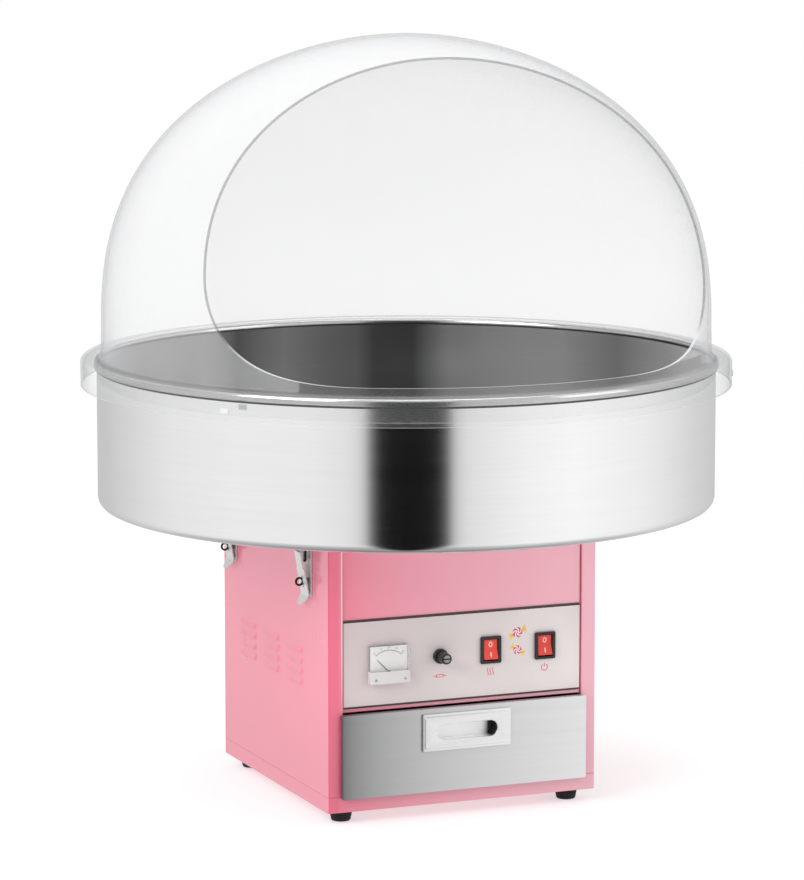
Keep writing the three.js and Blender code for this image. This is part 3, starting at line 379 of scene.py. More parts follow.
# Geometry node trees

def addInputs(tree, inputs):
    for kind, labels in inputs.items():
        for label in labels:
            tree.interface.new_socket(label, in_out="INPUT", socket_type="NodeSocket" + kind)


# The inputs are given by kind, such as Float=("Radius", "Height")
def geometryTree(name, **inputs):
    tree = bpy.data.node_groups.new(name, "GeometryNodeTree")
    addInputs(tree, dict(Geometry=["Geometry"], **inputs, Material=["Material"]))
    tree.interface.new_socket("Geometry", in_out="OUTPUT", socket_type="NodeSocketGeometry")
    return tree, add(tree, "NodeGroupInput").outputs


def closeTree(tree, given, geometry):
    real = add(tree, "GeometryNodeRealizeInstances", {"Geometry": geometry})
    skin = add(tree, "GeometryNodeSetMaterial", {"Geometry": real, "Material": given["Material"]})
    add(tree, "NodeGroupOutput", {0: skin})
    return tree


def grown(name, tree, values, material, points=(), edges=()):
    base = bpy.data.meshes.new(name)
    base.from_pydata([Vector(p) * mm for p in points], edges, [])
    obj = toObject(name, base)
    modifier = obj.modifiers.new("grow", "NODES")
    modifier.node_group = tree
    wanted = dict(values, Material=material)
    for item in tree.interface.items_tree:
        if item.item_type == "SOCKET" and item.in_out == "INPUT" and item.name in wanted:
            modifier[item.identifier] = wanted[item.name]
    return settle(obj)


# Templates such as screws set on the points of a mesh, each turned by its own random angle
def studTree():
    tree, given = geometryTree("studsOnPoints", Object=["Template"], Vector=["Rotation"], Float=["Turn"],
                               Int=["Seed"])
    info = add(tree, "GeometryNodeObjectInfo", {"Object": given["Template"]})
    spin = add(tree, "FunctionNodeRandomValue", {"Seed": given["Seed"]}, data_type="FLOAT")
    low = [s for s in spin.inputs if s.name == "Min" and s.type == "VALUE"][0]
    high = [s for s in spin.inputs if s.name == "Max" and s.type == "VALUE"][0]
    low.default_value = 0
    tree.links.new(given["Turn"], high)
    value = [s for s in spin.outputs if s.type == "VALUE"][0]
    points = add(tree, "GeometryNodeMeshToPoints", {"Mesh": given["Geometry"]})
    placed = add(tree, "GeometryNodeInstanceOnPoints", {
        "Points": points, "Instance": info.outputs["Geometry"], "Rotation": given["Rotation"]})
    spun = add(tree, "GeometryNodeRotateInstances", {
        "Instances": placed, "Rotation": vectorOf(tree, z=value)})
    return closeTree(tree, given, spun)


# A bent wire along a polyline, its corners rounded
def wireTree():
    tree, given = geometryTree("bentWire", Float=["Wire Radius", "Bend Radius"], Int=["Sides"])
    path = add(tree, "GeometryNodeMeshToCurve", {"Mesh": given["Geometry"]})
    bent = add(tree, "GeometryNodeFilletCurve", {
        "Curve": path, "Radius": given["Bend Radius"], "Limit Radius": True, "Count": 8},
        mode="POLY")
    section = add(tree, "GeometryNodeCurvePrimitiveCircle", {
        "Resolution": given["Sides"], "Radius": given["Wire Radius"]})
    tube = add(tree, "GeometryNodeCurveToMesh", {
        "Curve": bent, "Profile Curve": section, "Fill Caps": True})
    return closeTree(tree, given, tube)


studs = studTree()
bentWire = wireTree()
print("trees ready")


# Shared surface effects

def surfaceGroup(name, outputs, **inputs):
    tree = bpy.data.node_groups.new(name, "ShaderNodeTree")
    addInputs(tree, inputs)
    for label in outputs:
        tree.interface.new_socket(label, in_out="OUTPUT", socket_type="NodeSocketFloat")
    return tree, add(tree, "NodeGroupInput").outputs, add(tree, "NodeGroupOutput")


# Fine streaks, and broad ones that change at a share of their rate
def streaked(tree, leave, place, share):
    fine = add(tree, "ShaderNodeTexNoise", {"Vector": place, "Scale": 1, "Detail": 3, "Roughness": 0.7})
    wide = vectorCalc(tree, "MULTIPLY", place, share)
    broad = add(tree, "ShaderNodeTexNoise", {"Vector": wide, "Scale": 1, "Detail": 2, "Roughness": 0.5})
    feed(tree, leave, {"Fine": fine, "Broad": broad})
    return tree


# Fine scratches from a brushing wheel. Stretch is how often they change along each axis, per metre.
def lineGrainGroup():
    tree, given, leave = surfaceGroup("lineGrain", ["Fine", "Broad"], Vector=["Vector", "Stretch"])
    scaled = vectorCalc(tree, "MULTIPLY", given["Vector"], given["Stretch"])
    return streaked(tree, leave, scaled, (0.12, 0.12, 0.12))


# The same round a vertical axis, as on a spun bowl
def roundGrainGroup():
    tree, given, leave = surfaceGroup(
        "roundGrain", ["Fine", "Broad"], Vector=["Vector"], Float=["Around", "Across"])
    parts = add(tree, "ShaderNodeSeparateXYZ", {0: given["Vector"]}).outputs
    turns = calc(tree, "MULTIPLY", calc(tree, "ARCTAN2", parts[1], parts[0]), given["Around"])
    flat = vectorOf(tree, parts[0], parts[1])
    radius = add(tree, "ShaderNodeVectorMath", {0: flat}, operation="LENGTH").outputs["Value"]
    out = calc(tree, "MULTIPLY", radius, given["Across"])
    up = calc(tree, "MULTIPLY", parts[2], given["Across"])
    return streaked(tree, leave, vectorOf(tree, turns, out, up), (0.4, 0.08, 0.08))


# Soft patches and a fine skin, for paint and mouldings
def skinGroup():
    tree, given, leave = surfaceGroup(
        "paintSkin", ["Patch", "Peel", "Speck"], Vector=["Vector"], Float=["Patch", "Peel"])
    patch = add(tree, "ShaderNodeTexNoise", {
        "Vector": given["Vector"], "Scale": given["Patch"], "Detail": 4, "Roughness": 0.55})
    peel = add(tree, "ShaderNodeTexNoise", {
        "Vector": given["Vector"], "Scale": given["Peel"], "Detail": 2, "Roughness": 0.5})
    speck = add(tree, "ShaderNodeTexVoronoi", {"Vector": given["Vector"], "Scale": 210.0})
    dots = ranged(tree, speck.outputs["Distance"], 0.05, 0.09, 1, 0)
    feed(tree, leave, {"Patch": patch, "Peel": peel, "Speck": dots})
    return tree


# Rubbed edges: a mask where the surface is convex, broken up by noise
def wearGroup():
    tree, given, leave = surfaceGroup("edgeWear", ["Mask"], Vector=["Vector"])
    shape = add(tree, "ShaderNodeNewGeometry")
    edge = ranged(tree, shape.outputs["Pointiness"], 0.52, 0.60, 0, 1)
    broken = add(tree, "ShaderNodeTexNoise", {"Vector": given["Vector"], "Scale": 60, "Detail": 5})
    kept = ranged(tree, broken, 0.42, 0.62, 0, 1)
    feed(tree, leave, {"Mask": calc(tree, "MULTIPLY", edge, kept)})
    return tree


def ranged(tree, value, fromLow, fromHigh, low, high):
    return add(tree, "ShaderNodeMapRange", {
        "Value": value, "From Min": fromLow, "From Max": fromHigh, "To Min": low, "To Max": high}).outputs[0]


lineGrain = lineGrainGroup()
roundGrain = roundGrainGroup()
paintSkin = skinGroup()
edgeWear = wearGroup()


def use(tree, group, values):
    return add(tree, "ShaderNodeGroup", values, node_tree=group)


def colourOf(red, green, blue):
    def line(c):
        c /= 255
        return c / 12.92 if c <= 0.04045 else ((c + 0.055) / 1.055) ** 2.4
    return (line(red), line(green), line(blue), 1)


def toned(colour, share):
    return tuple(min(1, c * share) for c in colour[:3]) + (1,)


def cleared(holder):
    holder.use_nodes = True
    holder.node_tree.nodes.clear()
    return holder.node_tree


def blank(name):
    material = bpy.data.materials.new(name)
    tree = cleared(material)
    shader = add(tree, "ShaderNodeBsdfPrincipled")
    add(tree, "ShaderNodeOutputMaterial", {"Surface": shader})
    return material, tree, shader, add(tree, "ShaderNodeTexCoord").outputs["Object"]


def mixed(tree, mask, first, second):
    return add(tree, "ShaderNodeMix", {"Factor": mask, 6: first, 7: second}, data_type="RGBA").outputs[2]


def bump(tree, height, depth, strength=1.0):
    return add(tree, "ShaderNodeBump", {
        "Height": height, "Distance": depth * mm, "Strength": strength}).outputs[0]


# Grey levels at places between start and end
def ramp(tree, value, levels, start, end):
    node = add(tree, "ShaderNodeValToRGB", {"Fac": value})
    stops = node.color_ramp.elements
    for i, (place, level) in enumerate(levels):
        spot = (place - start) / (end - start)
        stop = stops[i] if i in (0, 1) else stops.new(spot)
        stop.position = spot
        stop.color = (level, level, level, 1)
    return node.outputs[0]


# Most of a noise lies between these two
noiseSpan = (0.3, 0.7)
# The painted reflection bands inside the bowl change along this line over the plan, out to the reach either
# side of the middle
bands = {"along": Vector((0.924, -0.383, 0)), "reach": 400}


# Brushed or spun metal. sweep is (start, end, share, colour): a painted shade, that share of the colour at
# the start, and none at the end. levels are the grey levels of painted reflection bands along the bands'
# line.
def metal(name, dark, light, roughness, spin=False, centre=(0, 0, 0), turn=(0, 0, 0), around=5.0,
          across=700.0, stretch=(18, 700, 700), depth=0.02, vary=0.06, metallic=1.0, worn=False, sweep=None,
          levels=None):
    material, tree, shader, place = blank(name)
    if spin:
        spot = {"Vector": place, "Location": Vector(centre) * mm, "Rotation": turn}
        place = add(tree, "ShaderNodeMapping", spot, vector_type="TEXTURE").outputs[0]
        grain = use(tree, roundGrain, {"Vector": place, "Around": around, "Across": across})
    else:
        grain = use(tree, lineGrain, {"Vector": place, "Stretch": stretch})
    fine, broad = grain.outputs["Fine"], grain.outputs["Broad"]
    streaks = calc(tree, "ADD", calc(tree, "MULTIPLY", fine, 0.55), calc(tree, "MULTIPLY", broad, 0.45))
    colour = mixed(tree, ranged(tree, streaks, *noiseSpan, 0, 1), colourOf(*dark), colourOf(*light))
    # painted shade: that share of the given colour at the start, fading out at the end
    if sweep is not None:
        start, end, share, tint = sweep
        run = calc(tree, "POWER", ranged(tree, axisOf(tree, place, 0), start * mm, end * mm, 0, 1), 0.5)
        colour = mixed(tree, ranged(tree, run, 0, 1, share, 0), colour, colourOf(*tint))
    # painted reflection bands: grey levels along a line across the plan, over the colour
    if levels is not None:
        dot = add(tree, "ShaderNodeVectorMath", {0: place, 1: bands["along"]}, operation="DOT_PRODUCT")
        reach = bands["reach"]
        spot = ranged(tree, dot.outputs["Value"], -reach * mm, reach * mm, 0, 1)
        colour = mixed(tree, ramp(tree, spot, levels, -reach, reach), (0, 0, 0, 1), colour)
    if worn:
        wear = use(tree, edgeWear, {"Vector": place})
        colour = mixed(tree, wear, colour, toned(colourOf(*light), 1.12))
    feed(tree, shader, {
        "Base Color": colour, "Metallic": metallic, "Normal": bump(tree, fine, depth, 0.5),
        "Roughness": ranged(tree, streaks, *noiseSpan, roughness - vary, roughness + vary)})
    return material


# Paint, plastic and rubber. The optional function paints light and shade over the piece's colour.
def coated(name, colour, roughness, coat=0.0, coatRoughness=0.1, patch=9.0, peel=620.0, depth=0.03,
           shift=0.04, speck=None, shades=None):
    material, tree, shader, place = blank(name)
    skin = use(tree, paintSkin, {"Vector": place, "Patch": patch, "Peel": peel})
    plain = colourOf(*colour)
    result = mixed(tree, ranged(tree, skin.outputs["Patch"], 0.35, 0.65, 0, 1),
                   toned(plain, 1 - shift), toned(plain, 1 + shift))
    # painted light and shade over the colour, where a function is given
    if shades is not None:
        result = shades(tree, place, result)
    if speck is not None:
        result = mixed(tree, calc(tree, "MULTIPLY", skin.outputs["Speck"], 0.35), result, colourOf(*speck))
    feed(tree, shader, {
        "Base Color": result, "Normal": bump(tree, skin.outputs["Peel"], depth),
        "Roughness": ranged(tree, skin.outputs["Patch"], *noiseSpan, roughness - 0.04, roughness + 0.06),
        "Coat Weight": coat, "Coat Roughness": coatRoughness})
    return material


# Heights, places and shares for the painted light and shade on the folded sheet. The spans of the normal are
# its share along y.
fold = {
    "run": (-152, 150), "left": (244, 106, 136), "right": (255, 188, 202), "forward": (-0.8, -0.95),
    "rise": (-148.2, -147.8), "drop": (-146.2, -145.8), "turned": (-0.3, -0.6), "upper": (120, 200),
    "share": 0.9, "line": (240, 222, 228), "foot": 60, "top": 300, "deep": 0.22,
}


# Painted light on the folded sheet: a painted reflection paler to the right on what looks forward, a painted
# highlight down the left fold, and a painted shade deeper towards the foot
def paintedFoldLight(tree, place, plain):
    def along(axis, span, low=0, high=1):
        return ranged(tree, axisOf(tree, place, axis), span[0] * mm, span[1] * mm, low, high)

    normal = axisOf(tree, add(tree, "ShaderNodeTexCoord").outputs["Normal"], 1)
    # painted reflection: paler to the right on what looks forward
    run = calc(tree, "POWER", along(0, fold["run"]), 0.5)
    front = mixed(tree, run, colourOf(*fold["left"]), colourOf(*fold["right"]))
    result = mixed(tree, ranged(tree, normal, *fold["forward"], 0, 1), plain, front)
    # painted highlight: a light line down the left fold, on the upper part
    line = along(0, fold["rise"])
    for mask in (along(0, fold["drop"], 1, 0), ranged(tree, normal, *fold["turned"], 0, 1),
                 along(2, fold["upper"], 0, fold["share"])):
        line = calc(tree, "MULTIPLY", line, mask)
    result = mixed(tree, line, result, colourOf(*fold["line"]))
    # painted shade, deeper towards the foot
    return mixed(tree, along(2, (fold["foot"], fold["top"]), fold["deep"], 0), result, (0, 0, 0, 1))


# Clear plastic as a film: nearly open where it faces you, denser and greyer where it turns away. thin and
# dense are how much it covers. low is (start, end, colour): the colour below start, fading out at end.
def clear(name, middle, rim, thin, dense, roughness=0.06, haze=0.01, specular=0.5, low=None):
    material, tree, shader, place = blank(name)
    away = add(tree, "ShaderNodeLayerWeight", {"Blend": 0.5}).outputs["Facing"]
    cloud = add(tree, "ShaderNodeTexNoise", {"Vector": place, "Scale": 6, "Detail": 3}).outputs[0]
    steep = calc(tree, "POWER", away, 4)
    colour = mixed(tree, ranged(tree, steep, 0.1, 0.9, 0, 1), colourOf(*middle), colourOf(*rim))
    if low is not None:
        start, end, tint = low
        share = ranged(tree, axisOf(tree, place, 2), start * mm, end * mm, 1, 0)
        colour = mixed(tree, share, colour, colourOf(*tint))
    drift = ranged(tree, cloud, *noiseSpan, -haze, haze)
    cover = calc(tree, "ADD", ranged(tree, steep, 0, 1, thin, dense), drift)
    feed(tree, shader, {
        "Base Color": colour, "Alpha": cover, "Specular IOR Level": specular,
        "Roughness": ranged(tree, cloud, *noiseSpan, roughness - 0.02, roughness + 0.03)})
    return material


# Steel
bowlOutside = metal("bowlOutside", (244, 244, 245), (249, 249, 249), 0.12, spin=True, around=3, across=600,
                    depth=0.002, vary=0.012)
# The inside of the bowl: a darker, less metallic copy of its steel as painted shade, with painted reflection
# bands in grey levels along a line across the plan
bowlInside = metal("bowlInside", (228, 228, 229), (236, 236, 236), 0.2, spin=True, around=3, across=500,
                   depth=0.0005, vary=0.02, metallic=0.6,
                   levels=[(-400, 0.6), (-245, 0.55), (-206, 0.16), (-150, 0.35), (-62, 0.23), (-40, 0.11),
                           (8, 0.11), (52, 0.45), (190, 0.55), (255, 0.38), (330, 0.9), (400, 1.0)])
# Painted shade: a darker copy of the bowl's steel on its rolled rim
bowlRim = metal("bowlRim", (186, 186, 187), (208, 208, 208), 0.16, spin=True, around=6, across=600,
                depth=0.001, vary=0.01)
# Painted shade: a darker copy of the bowl's steel on the floor inside it
bowlFloor = metal("bowlFloor", (196, 196, 197), (206, 206, 206), 0.2, spin=True, around=3, across=500,
                  depth=0.001, vary=0.03)
# Painted shade: dark steel in the crevice under the bowl's rolled rim and on the rim's inner side
seamSteel = metal("seamSteel", (66, 66, 67), (80, 80, 81), 0.4, spin=True)
latchZinc = metal("latchZinc", (226, 229, 229), (240, 242, 242), 0.36, stretch=(400, 400, 40), depth=0.004,
                  metallic=0.45)
# The drawer front's steel, with a painted shade that darkens it towards the left
drawerSteel = metal("drawerSteel", (226, 226, 227), (234, 234, 234), 0.3, stretch=(9, 420, 900), depth=0.003,
                    vary=0.02, metallic=0.6, sweep=(-150, 165, 0.95, (84, 85, 87)))
traySteel = metal("traySteel", (158, 160, 162), (190, 191, 192), 0.38, stretch=(300, 8, 300))
zinc = metal("zincPlate", (190, 192, 193), (222, 223, 223), 0.24, stretch=(500, 500, 40), depth=0.008,
             worn=True)
blackSteel = metal("blackSteel", (24, 24, 25), (44, 43, 43), 0.36, stretch=(300, 300, 60), metallic=0.6)
spunSteel = metal("spunSteel", (170, 171, 172), (208, 208, 208), 0.28, spin=True, around=6)

# Other metals
castAluminium = metal("castAluminium", (160, 162, 164), (196, 197, 198), 0.36, spin=True, around=9, worn=True)
brass = metal("brassRing", (176, 132, 60), (212, 170, 92), 0.27, spin=True, around=9)
heaterAlloy = metal("heaterAlloy", (70, 66, 64), (112, 100, 92), 0.5, spin=True, around=30)

# Paint, plastic, rubber and card
motorEnamel = coated("motorEnamel", (58, 61, 66), 0.45, coat=0.2, depth=0.05, peel=300)
# The pink paint, with painted light and shade from the folded sheet's function
pinkCoat = coated("pinkCoat", (255, 144, 167), 0.3, coat=1.0, shift=0.008, depth=0.006, patch=3.0,
                  shades=paintedFoldLight)
rubber = coated("footRubber", (27, 27, 28), 0.72, depth=0.08, peel=900, shift=0.2, speck=(70, 68, 66))
blackMoulding = coated("blackMoulding", (26, 25, 26), 0.36, coat=0.1, depth=0.03, peel=1200, shift=0.15)
whiteMoulding = coated("whiteMoulding", (212, 209, 207), 0.3, depth=0.01, peel=900, shift=0.01)
dialCard = coated("dialCard", (232, 231, 227), 0.6, depth=0.01, peel=2000, shift=0.01)
carbon = coated("brushCarbon", (38, 38, 40), 0.55, depth=0.05, peel=1500, shift=0.2)


def ink(name, colour, roughness=0.42, shift=0.05):
    return coated(name, colour, roughness, depth=0.004, shift=shift)


darkInk = ink("darkInk", (40, 32, 34), 0.5, 0.08)
whiteInk = ink("whiteInk", (240, 238, 234), 0.45, 0.03)
signRed = ink("signRed", (222, 88, 102), shift=0.03)
sweetRed = ink("sweetRed", (222, 92, 128))
sweetYellow = ink("sweetYellow", (244, 205, 104))
sweetCream = ink("sweetCream", (250, 238, 232), shift=0.03)

# Clear plastic and glass
bubblePlastic = clear("bubblePlastic", (226, 227, 228), (192, 193, 195), 0.13, 0.7, haze=0.006, specular=0.05)
meterPlastic = clear("meterPlastic", (246, 247, 248), (200, 203, 206), 0.10, 0.55)
fuseGlass = clear("fuseGlass", (230, 238, 236), (160, 172, 170), 0.18, 0.7)
print("finishes ready")


# Camera, floor and light

view = {
    "place": (-1.8162, -4.3895, 1.1232), "tilt": 81.386, "turn": -22.475,
    "lens": 170.3, "film": 36.0, "shift": -0.0046,
}


def setCamera():
    data = bpy.data.cameras.new("camera")
    data.sensor_width = view["film"]
    data.lens = view["lens"]
    data.shift_x = view["shift"]
    data.clip_end = 60
    camera = bpy.data.objects.new("camera", data)
    camera.location = view["place"]
    camera.rotation_euler = (math.radians(view["tilt"]), 0, math.radians(view["turn"]))
    bpy.context.scene.collection.objects.link(camera)
    bpy.context.scene.camera = camera


# ring: how bright the studio is round the object, in degrees from the camera's side, with its dark gap
studio = {
    "floorRadius": 1900, "floorHeight": -0.4, "floorMatt": 0.5, "floorGlow": 0.56, "side": -112.5,
    "ring": ((-180, 0.56), (-148, 0.59), (-123, 0.70), (-95, 0.84), (-65, 0.89), (-35, 0.88), (-20, 0.80),
             (-15.4, 0.66), (-12.6, 0.14), (-10, 0.005), (11.3, 0.005), (14.9, 0.07), (17.6, 0.62),
             (22, 0.78), (45, 0.94), (64, 1.0), (98, 0.90), (133, 0.69), (157, 0.61), (180, 0.56)),
    "overhead": 0.9, "fade": (0.25, 0.6), "under": 0.4, "sink": (-0.98, -0.6),
}


def setWorld():
    world = bpy.data.worlds.new("studio")
    bpy.context.scene.world = world
    tree = cleared(world)
    ray = add(tree, "ShaderNodeLightPath")
    seen = calc(tree, "MAXIMUM", ray.outputs["Is Camera Ray"], ray.outputs["Is Transmission Ray"])
    generated = add(tree, "ShaderNodeTexCoord").outputs["Generated"]
    way = add(tree, "ShaderNodeSeparateXYZ", {0: generated}).outputs
    angle = calc(tree, "SUBTRACT", calc(tree, "ARCTAN2", way[1], way[0]), math.radians(studio["side"]))
    turn = calc(tree, "FRACT", calc(tree, "ADD", calc(tree, "DIVIDE", angle, 2 * math.pi), 1.5))
    ring = ramp(tree, turn, studio["ring"], -180, 180)
    high = ranged(tree, way[2], *studio["fade"], 0, 1)
    above = mixed(tree, high, ring, (studio["overhead"],) * 3 + (1,))
    level = calc(tree, "MULTIPLY", above, ranged(tree, way[2], *studio["sink"], studio["under"], 1))
    light = add(tree, "ShaderNodeBackground", {
        "Color": (1, 1, 1, 1), "Strength": calc(tree, "MAXIMUM", seen, level)})
    add(tree, "ShaderNodeOutputWorld", {"Surface": light})


def setFloor():
    material = bpy.data.materials.new("studioFloor")
    tree = cleared(material)
    ray = add(tree, "ShaderNodeLightPath")
    matt = add(tree, "ShaderNodeBsdfDiffuse", {"Color": (studio["floorMatt"],) * 3 + (1,)})
    glow = add(tree, "ShaderNodeEmission", {"Strength": studio["floorGlow"]})
    both = add(tree, "ShaderNodeAddShader", {0: matt, 1: glow})
    bare = add(tree, "ShaderNodeBsdfTransparent")
    shown = add(tree, "ShaderNodeMixShader", {
        0: ray.outputs["Is Glossy Ray"], 1: both, 2: bare})
    add(tree, "ShaderNodeOutputMaterial", {"Surface": shown})
    height = studio["floorHeight"]
    disc = [(0, height), (studio["floorRadius"], height)]
    floor = turned("studioFloor", disc, 96, [material], closed=False)
    if floor.data.polygons[0].normal.z < 0:
        floor.data.flip_normals()


lamps = {
    "leftKey": {"at": (-3.2, -1.4, 2.6), "to": (0, 0, 0.4), "size": 2.4, "power": 84},
    "topFill": {"at": (0.2, -0.2, 3.4), "to": (0, 0, 0.3), "size": 2.6, "power": 38},
    "rightFill": {"at": (3.0, -2.6, 1.8), "to": (0, 0, 0.4), "size": 2.2, "power": 16},
}


def setLamps():
    for name, lamp in lamps.items():
        data = bpy.data.lights.new(name, "AREA")
        data.energy = lamp["power"]
        data.size = lamp["size"]
        made = bpy.data.objects.new(name, data)
        made.location = lamp["at"]
        made.rotation_euler = (Vector(lamp["to"]) - Vector(lamp["at"])).to_track_quat("-Z", "Y").to_euler()
        bpy.context.scene.collection.objects.link(made)


setCamera()
setWorld()
setFloor()
setLamps()
bpy.context.scene.view_settings.view_transform = "Standard"
print("studio ready")


# Cabinet
cabinet = {"edge": 0.45, "runnerEdge": 0.3}
for node in ("cabinet_shell", "base_pan", "top_deck", "front_panel", "rear_cover"):
    softened(node, [pinkCoat], "pink_paint", cabinet["edge"])
softened("compartment_shelf", [traySteel], "brushed_steel", cabinet["edge"])
for side in ("left", "right"):
    softened(f"drawer_runner_{side}", [zinc], "zinc_plate", cabinet["runnerEdge"], name=f"{side}Runner")

foot = {"taper": 2.7, "bore": 4.5, "boreDeep": 7, "ribs": 3, "firstRib": 3.2, "ribStep": 2.6,
        "ribDepth": 0.35, "toe": 1.2, "brim": 1.0, "segments": 56}


def makeFoot(node):
    low, high = boxOf(node)
    middle = (low + high) / 2
    wide, tall = (high.x - low.x) / 2, high.z
    narrow, toe, brim = wide - foot["taper"], foot["toe"], foot["brim"]
    profile = [(0, foot["boreDeep"]), (foot["bore"], foot["boreDeep"]), (foot["bore"], 0.6)]
    profile += arc(narrow - toe, toe, toe, -90, -10, 4)
    for rib in range(foot["ribs"]):
        z = foot["firstRib"] + foot["ribStep"] * rib
        r = narrow + (wide - narrow) * z / tall
        inner = r - foot["ribDepth"]
        profile += [(r, z - 0.6), (inner, z - 0.2), (inner, z + 0.2), (r + 0.1, z + 0.6)]
    profile += arc(wide - brim, tall - brim, brim, 0, 90, 4) + [(0, tall)]
    place = Matrix.Translation(Vector((middle.x, middle.y, 0)) * mm)
    standIn(turned(titled(node), profile, foot["segments"], [rubber], place), node, "rubber")


for node in [n for n in cadNodes if n.startswith("foot_")]:
    makeFoot(node)

quarter = math.pi / 2
screw = {"radius": 3.4, "height": 1.9, "slot": 0.9, "arm": 0.62, "coverInset": 6.5, "coverSheet": 1.2,
         "bracket": (91, 38), "bracketSheet": 2.5}


def screwTemplate(name, radius, height, slot, material, cross=True):
    dome = arc(0, -radius * 0.35, radius * 1.06, 19.3, 90, 7)
    scale = height / dome[-1][1]
    profile = [(r, h * scale) for r, h in dome if h * scale > 0.25]
    profile = [(radius, 0), (radius, 0.25)] + profile[:-1] + [(0, height), (0, 0)]
    head = turned(name, profile, 24, [material])
    arm = radius * screw["arm"]
    bars = [(arm, slot / 2), (slot / 2, arm)] if cross else [(arm * 1.8, slot / 2)]
    depth = height * 0.45
    carve(head, *[roundedBox("bar", (-x, -y, depth), (x, y, height + 1), 0, [material]) for x, y in bars])
    return shade(head, 30)


def setStuds(name, template, points, rotation, seed, turn=6.28):
    values = {"Template": template, "Rotation": rotation, "Turn": turn, "Seed": seed}
    return piece(shade(grown(name, studs, values, zinc, points), 30), "cabinet", "zinc_plate")


crossScrew = screwTemplate("crossScrew", screw["radius"], screw["height"], screw["slot"], zinc)


def makeCabinetScrews():
    low, high = boxOf("rear_cover")
    middle, inset = (low + high) / 2, screw["coverInset"]
    xs, zs = (low.x + inset, middle.x, high.x - inset), (low.z + inset, middle.z, high.z - inset)
    spots = [(x, low.y + screw["coverSheet"], z) for x in xs for z in zs if (x, z) != (middle.x, middle.z)]
    setStuds("rearCoverScrews", crossScrew, spots, (-quarter, 0, 0), 5)
    (x, y), drop = screw["bracket"], boxOf("motor_bracket")[1].z - screw["bracketSheet"]
    bolts = [(sx * x, sy * y, drop) for sx in (-1, 1) for sy in (-1, 1)]
    setStuds("bracketScrews", crossScrew, bolts, (math.pi, 0, 0), 8)


makeCabinetScrews()
print("cabinet ready")


# Cord gland
gland = {"bore": 5.0, "flange": 10.1, "thread": 2, "body": 4.6, "nutAcross": 22.0, "nutDepth": 5.0}


def makeGland():
    low, high = boxOf("cord_gland")
    middle = (low + high) / 2
    bore, wall, nut = gland["bore"], gland["flange"], gland["nutDepth"]
    profile = [(bore, 0), (bore + gland["thread"], 0), (bore + gland["thread"], wall - 0.2),
               (bore + gland["body"], wall), (bore + gland["body"], wall + nut), (bore + 4.2, wall + nut + 2)]
    profile += arc(bore + 1.7, wall + 17, 1.3, 0, 90, 5) + [(bore + 0.8, wall + 17.9), (bore, wall + 17.2)]
    body = turned("glandBody", profile, 48, [blackMoulding])
    hexagon = circle(gland["nutAcross"] / 2, steps=6)
    place = Matrix.Translation((0, 0, wall * mm))
    ring = plate("glandNut", [hexagon, circle(bore + 4)], nut, [blackMoulding], place, edge=0.5)
    whole = joined("cordGland", [body, ring])
    whole.data.transform(facing("back", middle.x, low.y, middle.z))
    standIn(whole, "cord_gland", "black_plastic")


makeGland()


# Control fascia
fascia = {"border": 2.9, "lowBorder": 2.2, "edge": 0.15, "hole": {"meter": 19.6, "fuse": 6.7},
          "switchHole": (21.6, 28.2), "meterHigh": 180, "shadeFrom": -140, "shadeTo": 120}
fasciaLow, fasciaHigh = boxOf("control_fascia")
meterSpot, fuseSpot = middleOf("meter_dial"), middleOf("fuse_holder")
switchSpots = {purpose: middleOf(f"{purpose}_switch_housing") for purpose in ("heat", "power")}


# Pale print between two dark borders, with a painted shade that greys it to the left
def fasciaFilm():
    material, tree, shader, place = blank("fasciaFilm")
    patch, peel, _ = use(tree, paintSkin, {"Vector": place, "Patch": 12.0, "Peel": 1800.0}).outputs
    up = axisOf(tree, place, 2)
    border = calc(tree, "MAXIMUM", calc(tree, "GREATER_THAN", up, (fasciaHigh.z - fascia["border"]) * mm),
                  calc(tree, "LESS_THAN", up, (fasciaLow.z + fascia["lowBorder"]) * mm))
    tone = ranged(tree, patch, 0.35, 0.65, 0, 1)
    light = mixed(tree, tone, colourOf(226, 218, 216), colourOf(232, 225, 223))
    # painted shade, greyer to the left
    share = ranged(tree, axisOf(tree, place, 0), fascia["shadeFrom"] * mm, fascia["shadeTo"] * mm, 0.9, 0)
    pale = mixed(tree, share, light, colourOf(204, 189, 190))
    feed(tree, shader, {
        "Base Color": mixed(tree, border, pale, colourOf(66, 50, 50)), "Normal": bump(tree, peel, 0.01),
        "Roughness": ranged(tree, patch, *noiseSpan, 0.34, 0.46)})
    return material


fasciaPrint = fasciaFilm()


def makeFascia():
    middle = (fasciaLow + fasciaHigh) / 2
    size = fasciaHigh - fasciaLow
    outlines = [rectangle(size.x, size.z, 2, middle.x, middle.z),
                circle(fascia["hole"]["meter"], meterSpot.x, fascia["meterHigh"]),
                circle(fascia["hole"]["fuse"], fuseSpot.x, fuseSpot.z)]
    outlines += [rectangle(*fascia["switchHole"], 1, spot.x, spot.z) for spot in switchSpots.values()]
    place = facing("front", 0, fasciaHigh.y)
    sheet = plate("fasciaPlate", outlines, size.y, [fasciaPrint], place, edge=fascia["edge"])
    standIn(sheet, "control_fascia", "fascia")


makeFascia()


# Marks printed on a surface, as thin raised films that look to the front
def film(name, outlines, face, material, thickness=0.06):
    return plate(name, outlines, thickness, [material], facing("front", 0, face))


# A closed outline of even width along a line of points
def band(points, width):
    outer, inner = [], []
    for i, (x, y) in enumerate(points):
        before, after = Vector(points[max(i - 1, 0)]), Vector(points[min(i + 1, len(points) - 1)])
        along = (after - before).normalized()
        side = Vector((-along.y, along.x)) * width / 2
        outer.append((x + side.x, y + side.y))
        inner.append((x - side.x, y - side.y))
    return outer + inner[::-1]


